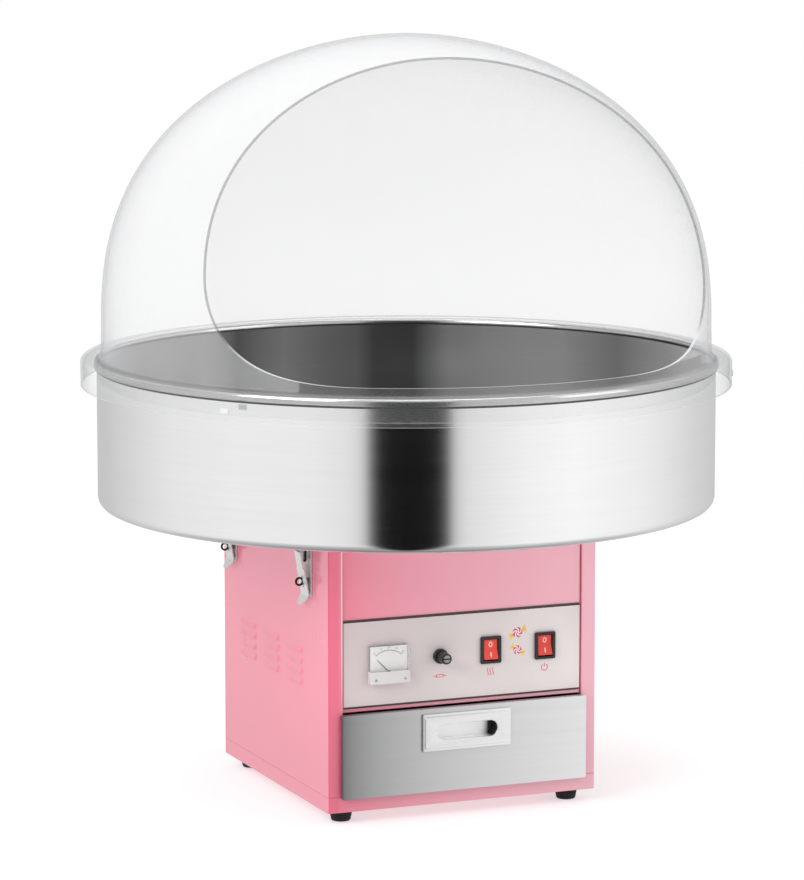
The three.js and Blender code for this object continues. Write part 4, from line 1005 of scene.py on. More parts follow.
# row: the height of the signs. sweets: two wrapped sweets, one above the other.
marks = {
    "line": 1.0, "row": 160.5, "size": 4.2, "fuse": (9, 3.6, 0.6), "fuseBore": (7.4, 2.0, 0.3),
    "fuseEnd": (3.6, 0.8), "fuseReach": 6.1, "waves": (-3.2, 0, 3.2), "waveWide": 0.75, "film": 0.06,
    "sweets": ({"x": 67.3, "z": 203, "radius": 6.0, "lean": 24},
               {"x": 67.3, "z": 183, "radius": 5.2, "lean": -30}),
    "wrap": {"root": 0.86, "edge": 1.78, "zigzag": 0.1, "spread": 1.24, "tall": 1.25, "points": 7},
}


def turnedPoints(points, angle, x, y):
    c, s = math.cos(math.radians(angle)), math.sin(math.radians(angle))
    return [(x + px * c - py * s, y + px * s + py * c) for px, py in points]


# One end of a sweet's wrapper, as an outline that runs the same way round on both sides
def wrapEnd(radius, way):
    wrap = marks["wrap"]
    fan = [(way * radius * wrap["root"], -radius * 0.2)]
    for k in range(wrap["points"]):
        spread = wrap["spread"] * (k / (wrap["points"] - 1) - 0.5)
        fan.append((way * radius * (wrap["edge"] + wrap["zigzag"] * (k % 2)), radius * spread * wrap["tall"]))
    fan.append((way * radius * wrap["root"], radius * 0.2))
    return fan[::way]


def makeMarks():
    face, row, line, size = fasciaLow.y, marks["row"], marks["line"], marks["size"]
    parts = []

    def mark(*outlines, ink=signRed, raised=False):
        lift, thickness = (marks["film"], marks["film"] / 2) if raised else (0, marks["film"])
        parts.append(film("mark", outlines, face - lift, ink, thickness))

    x = fuseSpot.x
    mark(rectangle(*marks["fuse"], x, row), rectangle(*marks["fuseBore"], x, row))
    for end in (x - marks["fuseReach"], x + marks["fuseReach"]):
        mark(rectangle(*marks["fuseEnd"], 0, end, row))
    for x in [switchSpots["heat"].x + step for step in marks["waves"]]:
        wave = [(x + marks["waveWide"] * math.sin(k / 12 * 2 * math.pi), row - size + k / 12 * 2 * size)
                for k in range(13)]
        mark(band(wave, line * 0.9))
    x = switchSpots["power"].x
    mark(band(arc(x, row, size * 0.9, 125, 415, 28), line))
    mark(rectangle(line, size, 0.3, x, row + size * 0.62))
    for sweet in marks["sweets"]:
        r, place = sweet["radius"], (sweet["lean"], sweet["x"], sweet["z"])
        for way in (-1, 1):
            mark(turnedPoints(wrapEnd(r, way), *place), ink=sweetYellow)
            crease = band([(way * r, 0), (way * r * 1.68, 0)], 0.4)
            mark(turnedPoints(crease, *place), ink=sweetRed, raised=True)
        mark(turnedPoints(circle(r, steps=40), *place), ink=sweetRed)
        shares = [0.12 + 0.86 * j / 12 for j in range(13)]
        for k in range(5):
            steps = [(r * t, math.radians(72 * k + 95 * t)) for t in shares]
            swirl = band([(out * math.cos(angle), out * math.sin(angle)) for out, angle in steps], r * 0.2)
            mark(turnedPoints(swirl, *place), ink=sweetCream, raised=True)
    piece(joined("fasciaMarks", parts), "cabinet", "fascia")


makeMarks()
print("fascia ready")


# Meter
meter = {
    "apron": 14.5, "wall": 1.2, "corner": 1.6, "innerCorner": 0.8, "cardEdge": 0.12, "pivot": 171.4,
    "scaleRadius": 23.9, "from": -39, "to": 39, "ticks": 21, "every": 5, "tickLong": 2.0, "tickShort": 1.2,
    "tickWide": 0.34, "arcWide": 0.5, "figures": ("0", "5", "10", "15", "20"), "figure": 2.9,
    "figureGap": 1.5, "screwRadius": 1.7, "screwIn": 6.2, "screwUp": 5.6,
}


def tickTree():
    tree, given = geometryTree("dialTicks", Int=["Count", "Every"],
                               Float=["Start", "Step", "Radius", "Long", "Short", "Width"])
    line = add(tree, "GeometryNodeMeshLine", {"Count": given["Count"], "Offset": (0, 0, 0)})
    index = add(tree, "GeometryNodeInputIndex").outputs[0]
    angle = calc(tree, "ADD", given["Start"], calc(tree, "MULTIPLY", index, given["Step"]))
    main = calc(tree, "COMPARE", calc(tree, "MODULO", index, given["Every"]), 0, 0.1)
    more = calc(tree, "SUBTRACT", given["Long"], given["Short"])
    span = calc(tree, "ADD", given["Short"], calc(tree, "MULTIPLY", main, more))
    middle = calc(tree, "ADD", given["Radius"], calc(tree, "MULTIPLY", span, 0.5))
    spot = vectorOf(tree, x=calc(tree, "MULTIPLY", middle, calc(tree, "SINE", angle)),
                    z=calc(tree, "MULTIPLY", middle, calc(tree, "COSINE", angle)))
    moved = add(tree, "GeometryNodeSetPosition", {"Geometry": line, "Position": spot})
    bar = add(tree, "GeometryNodeMeshCube", {"Size": (1, 0.00006, 1)})
    placed = add(tree, "GeometryNodeInstanceOnPoints", {
        "Points": moved, "Instance": bar, "Rotation": vectorOf(tree, y=angle),
        "Scale": vectorOf(tree, given["Width"], 1.0, span)})
    return closeTree(tree, given, placed)


def words(name, text, size, x, z, face, material):
    curve = bpy.data.curves.new(name, "FONT")
    curve.body = text
    curve.size = size * mm
    curve.extrude = 0.03 * mm
    curve.align_x = "CENTER"
    curve.align_y = "CENTER"
    obj = toObject(name, flattened(curve))
    obj.data.materials.clear()
    obj.data.materials.append(material)
    obj.data.transform(facing("front", x, face - 0.03, z))
    return obj


def makeDial():
    low, high = boxOf("meter_dial")
    coverLow, coverHigh = boxOf("meter_cover")
    middle = (coverLow + coverHigh) / 2
    size, face, pivot, radius = high - low, low.y, meter["pivot"], meter["scaleRadius"]
    card = plate("dialFace", [rectangle(size.x, size.z, 0.6, middle.x, middle.z)], size.y, [dialCard],
                 facing("front", 0, high.y), edge=meter["cardEdge"])
    standIn(card, "meter_dial", "dial_white")
    start, end, count = math.radians(meter["from"]), math.radians(meter["to"]), meter["ticks"]
    ticks = grown("dialTicks", tickTree(), {
        "Count": count, "Every": meter["every"], "Start": start, "Step": (end - start) / (count - 1),
        "Radius": radius * mm, "Long": meter["tickLong"] * mm, "Short": meter["tickShort"] * mm,
        "Width": meter["tickWide"] * mm}, darkInk)
    ticks.data.transform(Matrix.Translation(Vector((middle.x, face - 0.02, pivot)) * mm))
    sweep = band(arc(middle.x, pivot, radius, 90 - meter["to"], 90 - meter["from"], 30), meter["arcWide"])
    parts = [ticks, film("dialArc", [sweep], face, darkInk, 0.05)]
    out = radius + meter["tickLong"] + meter["figureGap"]
    for i, text in enumerate(meter["figures"]):
        angle = math.radians(meter["from"] + (meter["to"] - meter["from"]) * i / (len(meter["figures"]) - 1))
        parts.append(words("figure", text, meter["figure"], middle.x + out * math.sin(angle),
                           pivot + out * math.cos(angle), face, darkInk))
    piece(joined("dialScale", parts), bodyOf("meter_dial"), "dial_white")


# The clear window and, under the split, the white apron of the meter's cover
def makeMeterCover():
    low, high = boxOf("meter_cover")
    split, wall, past = low.z + meter["apron"], meter["wall"], Vector((9, 9, 9))
    window = roundedBox("meterWindow", low, (high.x, high.y + 3, high.z), meter["corner"], [meterPlastic], 4)
    hollow = roundedBox("hollow", (low.x + wall, low.y + wall, low.z + wall),
                        (high.x - wall, high.y + 9, high.z - wall), meter["innerCorner"], [meterPlastic], 3)
    base = roundedBox("base", (low.x - 5, high.y, low.z - 5), (high.x + 5, high.y + 9, high.z + 5), 0,
                      [meterPlastic])
    carve(window, hollow, base)
    apron = toObject("meterApron", window.data.copy())
    (x, y, _), (farX, farY, _) = low - past, high + past
    carve(window, roundedBox("below", low - past, (farX, farY, split), 0, [meterPlastic]))
    carve(apron, roundedBox("above", (x, y, split - 0.02), high + past, 0, [whiteMoulding]))
    apron.data.materials.clear()
    apron.data.materials.append(whiteMoulding)
    standIn(window, "meter_cover", "clear_plastic", 40)
    piece(shade(apron, 40), bodyOf("meter_cover"), "dial_white")
    slotScrew = screwTemplate("slotScrew", meter["screwRadius"], 1.0, 0.5, zinc, cross=False)
    inset, up = meter["screwIn"], low.z + meter["screwUp"]
    spots = [(low.x + inset, low.y, up), (high.x - inset, low.y, up)]
    setStuds("meterScrews", slotScrew, spots, (quarter, 0, 0), 2)
    bpy.data.objects.remove(slotScrew)


makeDial()
makeMeterCover()
softened("meter_case", [blackMoulding], "black_plastic", 0.3)
softened("meter_needle", [darkInk], "black_plastic", 0.1)
print("meter ready")


# Fuse
fuse = {"flange": 8.5, "flangeDepth": 5.0, "barrel": 6.4, "bore": 5.2, "cap": 6.2, "capLength": 15.0,
        "plug": 4.7, "hollow": 2.9, "ridges": 24, "ridgeLong": 9.5, "ridgeWide": 0.42, "ridgeMiddle": 6.4,
        "end": 4.5, "slot": 1.6, "ferrule": 5}


def ridgeTree():
    tree, given = geometryTree("ridgesRound", Int=["Count"], Float=["Radius", "Length", "Width", "Height"])
    ring = add(tree, "GeometryNodeMeshCircle", {"Vertices": given["Count"], "Radius": given["Radius"]})
    index = add(tree, "GeometryNodeInputIndex").outputs[0]
    turn = calc(tree, "MULTIPLY", index, calc(tree, "DIVIDE", 2 * math.pi, given["Count"]))
    rod = add(tree, "GeometryNodeMeshCylinder", {
        "Vertices": 10, "Radius": given["Width"], "Depth": given["Length"]})
    placed = add(tree, "GeometryNodeInstanceOnPoints", {
        "Points": ring, "Instance": rod, "Rotation": vectorOf(tree, z=turn)})
    lifted = add(tree, "GeometryNodeTransform", {
        "Geometry": placed, "Translation": vectorOf(tree, z=given["Height"])})
    return closeTree(tree, given, lifted)


ridgesRound = ridgeTree()
capEnd = metal("capEnd", (120, 120, 119), (170, 170, 168), 0.3, spin=True, centre=(fuseSpot.x, 0, fuseSpot.z),
               turn=(quarter, 0, 0), metallic=0.8, depth=0.004)


def makeFuse():
    x, z = fuseSpot.x, fuseSpot.z
    low, high = boxOf("fuse_holder")
    depth = high.y - low.y
    wide, deep, barrel, bore = fuse["flange"], fuse["flangeDepth"], fuse["barrel"], fuse["bore"]
    profile = [(0, 0), (barrel, 0), (barrel, depth - deep), (wide, depth - deep), (wide, depth - 2.2)]
    profile += arc(wide - 1.6, depth - 1.6, 1.6, 0, 90, 5)
    profile += [(bore + 0.4, depth), (bore, depth - 0.4), (bore, 2), (0, 2)]
    holder = turned("fuseHolder", profile, 48, [blackMoulding], facing("front", x, high.y, z))
    standIn(holder, "fuse_holder", "black_plastic")

    low, high = boxOf("fuse_cap")
    skirt, total = high.y - low.y - fuse["capLength"], high.y - low.y
    cap, end, plug, hollow = fuse["cap"], fuse["end"], fuse["plug"], fuse["hollow"]
    profile = [(hollow, 0), (plug, 0), (plug, skirt), (cap, skirt), (cap, total - 1.4)]
    profile += arc(cap - 1.2, total - 1.2, 1.2, 0, 90, 5)
    profile += [(end, total), (end, total - 0.5), (0, total - 0.5), (0, skirt), (hollow, skirt)]
    body = turned("fuseCap", profile, 48, [blackMoulding])
    face = [(0, total - 0.45), (end - 0.2, total - 0.45), (end - 0.2, total - 0.25), (end - 0.5, total - 0.1),
            (0, total - 0.1)]
    disc = turned("capEnd", face, 48, [capEnd])
    half = fuse["slot"] / 2
    for part, skin in ((body, blackMoulding), (disc, capEnd)):
        carve(part, roundedBox("slot", (-cap - 1, -half, total - 1.6), (cap + 1, half, total + 1), 0, [skin]))
    grip = grown("grip", ridgesRound, {
        "Count": fuse["ridges"], "Radius": (cap - 0.25) * mm, "Length": fuse["ridgeLong"] * mm,
        "Width": fuse["ridgeWide"] * mm, "Height": (skirt + fuse["ridgeMiddle"]) * mm}, blackMoulding)
    whole = joined("fuseCap", [body, disc, grip])
    whole.data.transform(facing("front", x, high.y, z))
    standIn(whole, "fuse_cap", "black_plastic")

    low, high = boxOf("fuse_cartridge")
    near, far = low.y + fuse["ferrule"], high.y - fuse["ferrule"]
    softened("fuse_cartridge", [fuseGlass, zinc], "fuse_glass", 0.1,
             choose=lambda c: int(c.y < near or c.y > far))


makeFuse()
print("fuse ready")


# Switches
switch = {"edge": 0.5, "proud": 2.5, "terminals": 25.2, "pivot": 1.9, "markWide": 0.85, "ring": (4.6, 6.0),
          "bar": 5.6, "barWide": 1.25, "tilt": -8, "high": 11.7, "top": -3.6, "waist": -2.2}
rockerRed = coated("rockerRed", (232, 58, 40), 0.27, coat=0.4, coatRoughness=0.06, shift=0.06, depth=0.006)


def makeSwitch(purpose):
    spot = switchSpots[purpose]
    face = boxOf(f"{purpose}_switch_housing")[0].y + switch["proud"]
    softened(f"{purpose}_switch_housing", [blackMoulding, zinc], "black_plastic", switch["edge"],
             choose=lambda c: int(c.y > face + switch["terminals"]))
    softened(f"{purpose}_rocker", [rockerRed], "red_rocker", switch["edge"], segments=3)
    (wide, tall), line = switch["ring"], switch["markWide"]
    ring = arc(0, 0, wide / 2, 0, 360, 40, tall / 2)[:-1]
    hole = [(x * (1 - 2 * line / wide), y * (1 - 2 * line / tall)) for x, y in ring]
    bar = rectangle(line * switch["barWide"], switch["bar"], 0.3)
    signs = []
    for way, outlines in ((1, [ring, hole]), (-1, [bar])):
        across = Vector((0, switch["top"] - switch["waist"], way * switch["high"])).normalized() * way
        out = Vector((1, 0, 0)).cross(across)
        middle = Vector((0, (switch["top"] + switch["waist"]) / 2, way * switch["high"] / 2))
        axes = Matrix(((1, 0, 0), across, out)).transposed().to_4x4()
        signs.append(plate("sign", outlines, 0.06, [whiteInk], Matrix.Translation(middle * mm) @ axes))
    both = joined(f"{purpose}RockerSigns", signs)
    both.data.transform(Matrix.Translation(Vector((spot.x, face + switch["pivot"], spot.z)) * mm)
                        @ Matrix.Rotation(math.radians(switch["tilt"]), 4, "X"))
    piece(both, bodyOf(f"{purpose}_rocker"), "dial_white")


for purpose in switchSpots:
    makeSwitch(purpose)
print("switches ready")


# Drawer
pull = {"wide": 108.5, "tall": 42.7, "step": 3.2, "sheet": 1.6, "z": 98.5, "slot": (74.5, 18), "wall": 1.5,
        "depth": 14}
# Painted shade: a dark band down the left edge of the pull's plates, and a dark right end in its pocket. The
# pocket's steel is a paler, less metallic copy, painted light that keeps the pocket bright.
pullSteel = metal("pullSteel", (232, 232, 233), (240, 240, 240), 0.28, stretch=(9, 420, 900), depth=0.003,
                  vary=0.02, sweep=(-53.5, -50.5, 0.9, (120, 121, 122)))
pocketSteel = metal("pocketSteel", (246, 246, 246), (252, 252, 252), 0.4, stretch=(9, 420, 900), depth=0.003,
                    vary=0.02, sweep=(31, 24, 0.97, (24, 24, 24)), metallic=0.5)


def makeDrawer():
    softened("drawer_tray", [traySteel], "brushed_steel", 0.4)
    softened("drawer_front", [drawerSteel], "brushed_steel", 0.55, segments=3)
    low, high = boxOf("drawer_pull")
    z, sheet, wall, step = pull["z"], pull["sheet"], pull["wall"], pull["step"]
    wide, tall, (long, high_) = pull["wide"], pull["tall"], pull["slot"]
    slot, outer = stadium(long, high_, z), stadium(long + 2 * wall, high_ + 2 * wall, z)
    back, deep = low.y + 2 * sheet, low.y + pull["depth"]
    behind = facing("front", 0, high.y)
    parts = [
        plate("lower", [rectangle(wide, tall, 1.2, 0, z), slot], sheet + 0.02, [pullSteel],
              facing("front", 0, back), edge=0.45, steps=3),
        plate("raised", [rectangle(wide - 2 * step, tall - 2 * step, 1.8, 0, z), slot], sheet, [pullSteel],
              facing("front", 0, back - sheet), edge=0.6, steps=4),
        plate("wall", [outer, slot], high.y - low.y - sheet, [pocketSteel], behind),
        plate("floor", [outer], high.y - deep, [pocketSteel], behind),
    ]
    standIn(joined("drawerPull", parts), "drawer_pull", "brushed_steel")


makeDrawer()
print("drawer ready")


# Latches. Their own places are (out of the side, along it, up).
latch = {"sideX": boxOf("base_pan")[1].x, "pivotOut": 8, "bailPivotZ": 294, "barZ": 318, "half": 11.2,
         "pinEnd": 7.8, "wire": 1.5, "bend": 2.6, "eyeOut": 11, "eyeZ": 269, "eye": (9, 1.3, 5.6),
         "sheet": 1.8, "rivetV": 9.2, "rivetZ": (256.5, 297.5), "rivetRadius": 1.9, "rivetHeight": 0.9}
latchSpots = {n.removeprefix("latch_base_"): middleOf(n) for n in cadNodes if n.startswith("latch_base_")}


# Turns a latch's own place into the world's
def beside(key):
    spot = latchSpots[key]
    way = 1 if spot.x > 0 else -1
    turn = Matrix.Rotation(0 if way > 0 else math.pi, 4, "Z")
    return Matrix.Translation(Vector((way * latch["sideX"], spot.y, 0)) * mm) @ turn


def makeLatch(key, rivet):
    place = beside(key)
    eyeMiddle = place @ (Vector((latch["eyeOut"], 0, latch["eyeZ"])) * mm) / mm

    def eye(centre):
        near = all(abs(gap) < reach for gap, reach in zip(centre - eyeMiddle, latch["eye"]))
        return int(near and abs(centre.x) > latch["sideX"] + 2)

    softened(f"latch_base_{key}", [latchZinc, blackSteel], "zinc_plate", 0.25, choose=eye)
    softened(f"latch_lever_{key}", [latchZinc], "zinc_plate", 0.35, segments=3)
    half, pin, foot_, bar = latch["half"], latch["pinEnd"], latch["bailPivotZ"], latch["barZ"]
    path = [(-pin, foot_), (-half, foot_), (-half, bar), (half, bar), (half, foot_), (pin, foot_)]
    points = [(latch["pivotOut"], v, z) for v, z in path]
    steps = [(i, i + 1) for i in range(len(points) - 1)]
    wire = grown(titled(f"latch_bail_{key}"), bentWire, {
        "Wire Radius": latch["wire"] * mm, "Bend Radius": latch["bend"] * mm, "Sides": 18},
        blackSteel, points, steps)
    wire.data.transform(place)
    standIn(wire, f"latch_bail_{key}", "zinc_plate", 40)
    softened(f"bowl_keeper_{key}", [spunSteel], "brushed_steel", 0.25)
    out, along = latch["sheet"], latch["rivetV"]
    spots = [tuple(place @ (Vector((out, v, z)) * mm) / mm) for v in (-along, along) for z in latch["rivetZ"]]
    turn = quarter if latchSpots[key].x > 0 else -quarter
    setStuds(titled(f"latch_rivets_{key}"), rivet, spots, (0, turn, 0), 4, turn=0.0)


def makeLatches():
    radius, height = latch["rivetRadius"], latch["rivetHeight"]
    dome = arc(0, 0, radius, 0, 90, 6, height)[:-1]
    rivet = turned("rivet", dome + [(0, height), (0, 0)], 20, [zinc])
    shade(rivet, 30)
    for key in latchSpots:
        makeLatch(key, rivet)
    bpy.data.objects.remove(rivet)


makeLatches()
print("latches ready")


# Drive
drive = {"motor": 52, "shaft": 6, "bore": 6.3, "hub": 15, "rings": (5, 18), "ringRadius": 18, "ringTall": 6,
         "fins": 44, "finInset": 2.6, "finWide": 0.9, "holeDeep": 21, "brushReach": 13.8}


def ringOf(node, profile, segments, materials, slot, skins=None):
    return standIn(turned(titled(node), profile, segments, materials, skins=skins), node, slot)


# Takes the sharpness off the corners of a profile
def eased(profile, size):
    points = []
    count = len(profile)
    for i, corner in enumerate(profile):
        here, back, ahead = Vector(corner), Vector(profile[i - 1]), Vector(profile[(i + 1) % count])
        if here.x < 1e-6:
            points.append(tuple(here))
            continue
        for other in (back, ahead):
            span = (other - here).length
            points.append(tuple(here + (other - here) / span * min(size, span * 0.4)))
    return points


def makeMotor():
    low, high = boxOf("motor_body")
    z0, z1, r = low.z, high.z, drive["motor"]
    bore, hole = drive["shaft"] + 0.5, z1 - drive["holeDeep"]
    profile = [(0, z0), (12, z0), (14, z0 + 6), (r - 6, z0 + 8), (r, z0 + 14), (r, z0 + 34), (r - 3, z0 + 37),
               (r - 3, z1 - 30), (r, z1 - 27), (r, z1 - 6), (r - 4, z1), (bore, z1), (bore, hole), (0, hole)]
    body = turned("motorBody", eased(profile, 0.9), 96, [motorEnamel])
    fins = grown("fins", ridgesRound, {
        "Count": drive["fins"], "Radius": (r - drive["finInset"]) * mm, "Length": (z1 - z0 - 68) * mm,
        "Width": drive["finWide"] * mm, "Height": (z0 + z1 + 8) / 2 * mm}, motorEnamel)
    standIn(joined("motorBody", [body, fins]), "motor_body", "dark_metal")
    softened("motor_bracket", [zinc], "zinc_plate", 0.5)


def makeSpindle():
    low, high = boxOf("spindle")
    shaft = [(0, low.z), (drive["shaft"], low.z), (drive["shaft"], high.z), (0, high.z)]
    ringOf("spindle", eased(shaft, 0.6), 40, [spunSteel], "brushed_steel")
    low, high = boxOf("slip_ring_hub")
    bore, hub, ring = drive["bore"], drive["hub"], drive["ringRadius"]
    profile = [(bore, low.z), (hub, low.z)]
    for lift in drive["rings"]:
        a, b = low.z + lift, low.z + lift + drive["ringTall"]
        profile += [(hub, a), (ring, a), (ring, b), (hub, b)]
    profile += [(hub, high.z), (bore, high.z)]
    skins = [int(ring in (here[0], ahead[0])) for here, ahead in zip(profile, profile[1:] + profile[:1])]
    ringOf("slip_ring_hub", profile, 64, [blackMoulding, brass], "brass_rings", skins)
    brushEnd = boxOf("brush_holder")[0].x + drive["brushReach"]
    softened("brush_holder", [blackMoulding, carbon], "black_plastic", 0.4,
             choose=lambda c: int(c.x < brushEnd))


makeMotor()
makeSpindle()
print("drive ready")


# Spinning head
head = {"segments": 156, "radius": 75, "wall": 2.5, "hub": 14, "hubLong": 32, "bandOut": 72.2,
        "bandWall": 1.2, "slots": 26, "slotWide": 3, "slotTall": 27, "slotLift": 2, "ribbon": 61, "wave": 3,
        "waves": 20, "ribbonPoints": 480, "ribbonWall": 1.2, "ribbonTall": 22, "cupLow": 30, "cupTop": 40,
        "cupTall": 34, "cupWall": 1.2, "capHole": 36, "capSheet": 2}


def bandTree():
    tree, given = geometryTree("slottedBand", Int=["Sides", "Slots"], Float=[
        "Outer", "Wall", "Height", "Slot Width", "Slot Height", "Slot Middle"])
    outer = add(tree, "GeometryNodeMeshCylinder", {
        "Vertices": given["Sides"], "Radius": given["Outer"], "Depth": given["Height"]})
    inner = add(tree, "GeometryNodeMeshCylinder", {
        "Vertices": given["Sides"], "Radius": calc(tree, "SUBTRACT", given["Outer"], given["Wall"]),
        "Depth": calc(tree, "MULTIPLY", given["Height"], 1.2)})
    window = add(tree, "GeometryNodeCurvePrimitiveQuadrilateral", {
        "Width": given["Slot Width"], "Height": given["Slot Height"]})
    eased_ = add(tree, "GeometryNodeFilletCurve", {
        "Curve": window, "Radius": calc(tree, "MULTIPLY", given["Slot Width"], 0.49),
        "Count": 5}, mode="POLY")
    filled = add(tree, "GeometryNodeFillCurve", {"Curve": eased_}, mode="NGONS")
    depth = calc(tree, "MULTIPLY", given["Wall"], 8)
    pushed = add(tree, "GeometryNodeExtrudeMesh", {
        "Mesh": filled, "Offset": (0, 0, 1), "Offset Scale": depth, "Individual": False},
        mode="FACES")
    back = add(tree, "GeometryNodeFlipFaces", {"Mesh": filled})
    both = add(tree, "GeometryNodeJoinGeometry")
    for part in (pushed.outputs[0], back.outputs[0]):
        tree.links.new(part, both.inputs[0])
    closed = add(tree, "GeometryNodeMergeByDistance", {"Geometry": both, "Distance": 1e-6})
    centred = add(tree, "GeometryNodeTransform", {
        "Geometry": closed, "Translation": vectorOf(tree, z=calc(tree, "MULTIPLY", depth, -0.5))})
    upright = add(tree, "GeometryNodeTransform", {
        "Geometry": centred, "Rotation": (quarter, 0, 0)})
    ring = add(tree, "GeometryNodeMeshCircle", {"Vertices": given["Slots"], "Radius": given["Outer"]})
    index = add(tree, "GeometryNodeInputIndex").outputs[0]
    step = calc(tree, "DIVIDE", 2 * math.pi, given["Slots"])
    turn = calc(tree, "ADD", calc(tree, "MULTIPLY", index, step), quarter)
    knives = add(tree, "GeometryNodeInstanceOnPoints", {
        "Points": ring, "Instance": upright, "Rotation": vectorOf(tree, z=turn)})
    real = add(tree, "GeometryNodeRealizeInstances", {"Geometry": knives})
    lifted = add(tree, "GeometryNodeTransform", {
        "Geometry": real, "Translation": vectorOf(tree, z=given["Slot Middle"]),
        "Rotation": vectorOf(tree, z=calc(tree, "MULTIPLY", step, 0.5))})
    cut = add(tree, "GeometryNodeMeshBoolean", {0: outer}, operation="DIFFERENCE", solver="EXACT")
    for knife in (inner.outputs[0], lifted.outputs[0]):
        tree.links.new(knife, cut.inputs[1])
    return closeTree(tree, given, cut)


def ribbonTree():
    tree, given = geometryTree("waveRibbon", Int=["Waves", "Points"], Float=["Radius", "Wave", "Height"])
    ring = add(tree, "GeometryNodeMeshCircle", {"Vertices": given["Points"], "Radius": 1.0})
    index = add(tree, "GeometryNodeInputIndex").outputs[0]
    angle = calc(tree, "MULTIPLY", index, calc(tree, "DIVIDE", 2 * math.pi, given["Points"]))
    swing = calc(tree, "COSINE", calc(tree, "MULTIPLY", angle, given["Waves"]))
    radius = calc(tree, "SUBTRACT", given["Radius"], calc(tree, "MULTIPLY", swing, given["Wave"]))
    spot = vectorOf(tree, calc(tree, "MULTIPLY", radius, calc(tree, "COSINE", angle)),
                    calc(tree, "MULTIPLY", radius, calc(tree, "SINE", angle)))
    moved = add(tree, "GeometryNodeSetPosition", {"Geometry": ring, "Position": spot})
    wall = add(tree, "GeometryNodeExtrudeMesh", {
        "Mesh": moved, "Offset": (0, 0, 1), "Offset Scale": given["Height"]}, mode="EDGES")
    return closeTree(tree, given, wall)


# Merges what touches, turns the faces outward and gives the sheet its thickness
def thickened(obj, thickness, offset, weld=0.001, quality=True):
    bm = bmesh.new()
    bm.from_mesh(obj.data)
    bmesh.ops.remove_doubles(bm, verts=bm.verts, dist=weld * mm)
    bmesh.ops.recalc_face_normals(bm, faces=bm.faces)
    highest = max(bm.faces, key=lambda f: f.calc_center_median().z)
    if highest.normal.z < -0.5:
        bmesh.ops.reverse_faces(bm, faces=bm.faces)
    bm.to_mesh(obj.data)
    bm.free()
    wall = obj.modifiers.new("wall", "SOLIDIFY")
    wall.thickness = thickness * mm
    wall.offset = offset
    wall.use_even_offset = True
    wall.use_quality_normals = quality
    return settle(obj)


def makeHeadBase():
    low, high = boxOf("head_base")
    r, wall, bore, hub = head["radius"], head["wall"], drive["bore"], head["hub"]
    z = low.z + head["hubLong"]
    profile = [(bore, low.z), (hub, low.z), (hub, z - 8), (hub + 6, z - 4), (r - 12, z - 3), (r - 2, z),
               (r, z + 3), (r, high.z), (r - wall, high.z), (r - wall, z + wall), (bore, z + wall)]
    ringOf("head_base", eased(profile, 0.6), head["segments"], [castAluminium], "aluminium")


def makeHeadBand():
    low, high = boxOf("head_band")
    made = grown("headBand", bandTree(), {
        "Outer": head["bandOut"] * mm, "Wall": head["bandWall"] * mm, "Height": (high.z - low.z) * mm,
        "Sides": head["segments"], "Slots": head["slots"], "Slot Width": head["slotWide"] * mm,
        "Slot Height": head["slotTall"] * mm, "Slot Middle": head["slotLift"] * mm}, spunSteel)
    made.data.transform(Matrix.Translation((0, 0, (low.z + high.z) / 2 * mm)))
    standIn(made, "head_band", "brushed_steel")


def makeHeater():
    ribbon = grown("heaterRibbon", ribbonTree(), {
        "Radius": head["ribbon"] * mm, "Wave": head["wave"] * mm, "Waves": head["waves"],
        "Points": head["ribbonPoints"], "Height": head["ribbonTall"] * mm}, heaterAlloy)
    thickened(ribbon, head["ribbonWall"], 0.0)
    ribbon.data.transform(Matrix.Translation((0, 0, boxOf("heater_ribbon")[0].z * mm)))
    standIn(ribbon, "heater_ribbon", "dark_metal", 40)


def makeCupAndCap():
    z, t = boxOf("sugar_cup")[0].z, head["cupWall"]
    low, top, rim = head["cupLow"], head["cupTop"], z + head["cupTall"]
    profile = [(0, z), (low, z), (top, rim), (top - t, rim), (low - t, z + t), (0, z + t)]
    ringOf("sugar_cup", eased(profile, 0.5), 120, [spunSteel], "brushed_steel")
    z, r, hole, t = boxOf("head_cap")[0].z, head["radius"], head["capHole"], head["capSheet"]
    profile = [(hole, z + 5), (hole + 8, z + 4), (r - 14, z), (r, z), (r, z + t), (r - 14, z + t + 1),
               (hole + 8, z + t + 5), (hole + 3, z + 10), (hole, z + 10)]
    ringOf("head_cap", eased(profile, 0.6), head["segments"], [castAluminium], "aluminium")


makeHeadBase()
makeHeadBand()
makeHeater()
makeCupAndCap()
print("head ready")


# Bowl. Its bead is the rolled rim, and the painted shade under it, in dark steel, ends on the bead at the
# angle given, in degrees.
bowl = {"segments": 208, "radius": 355.6, "sheet": 1.2, "corner": 12, "beadWide": 4.4, "beadTall": 10,
        "seamFrom": -63, "seamSteps": 3, "hole": 88, "collar": 14, "bend": 5}


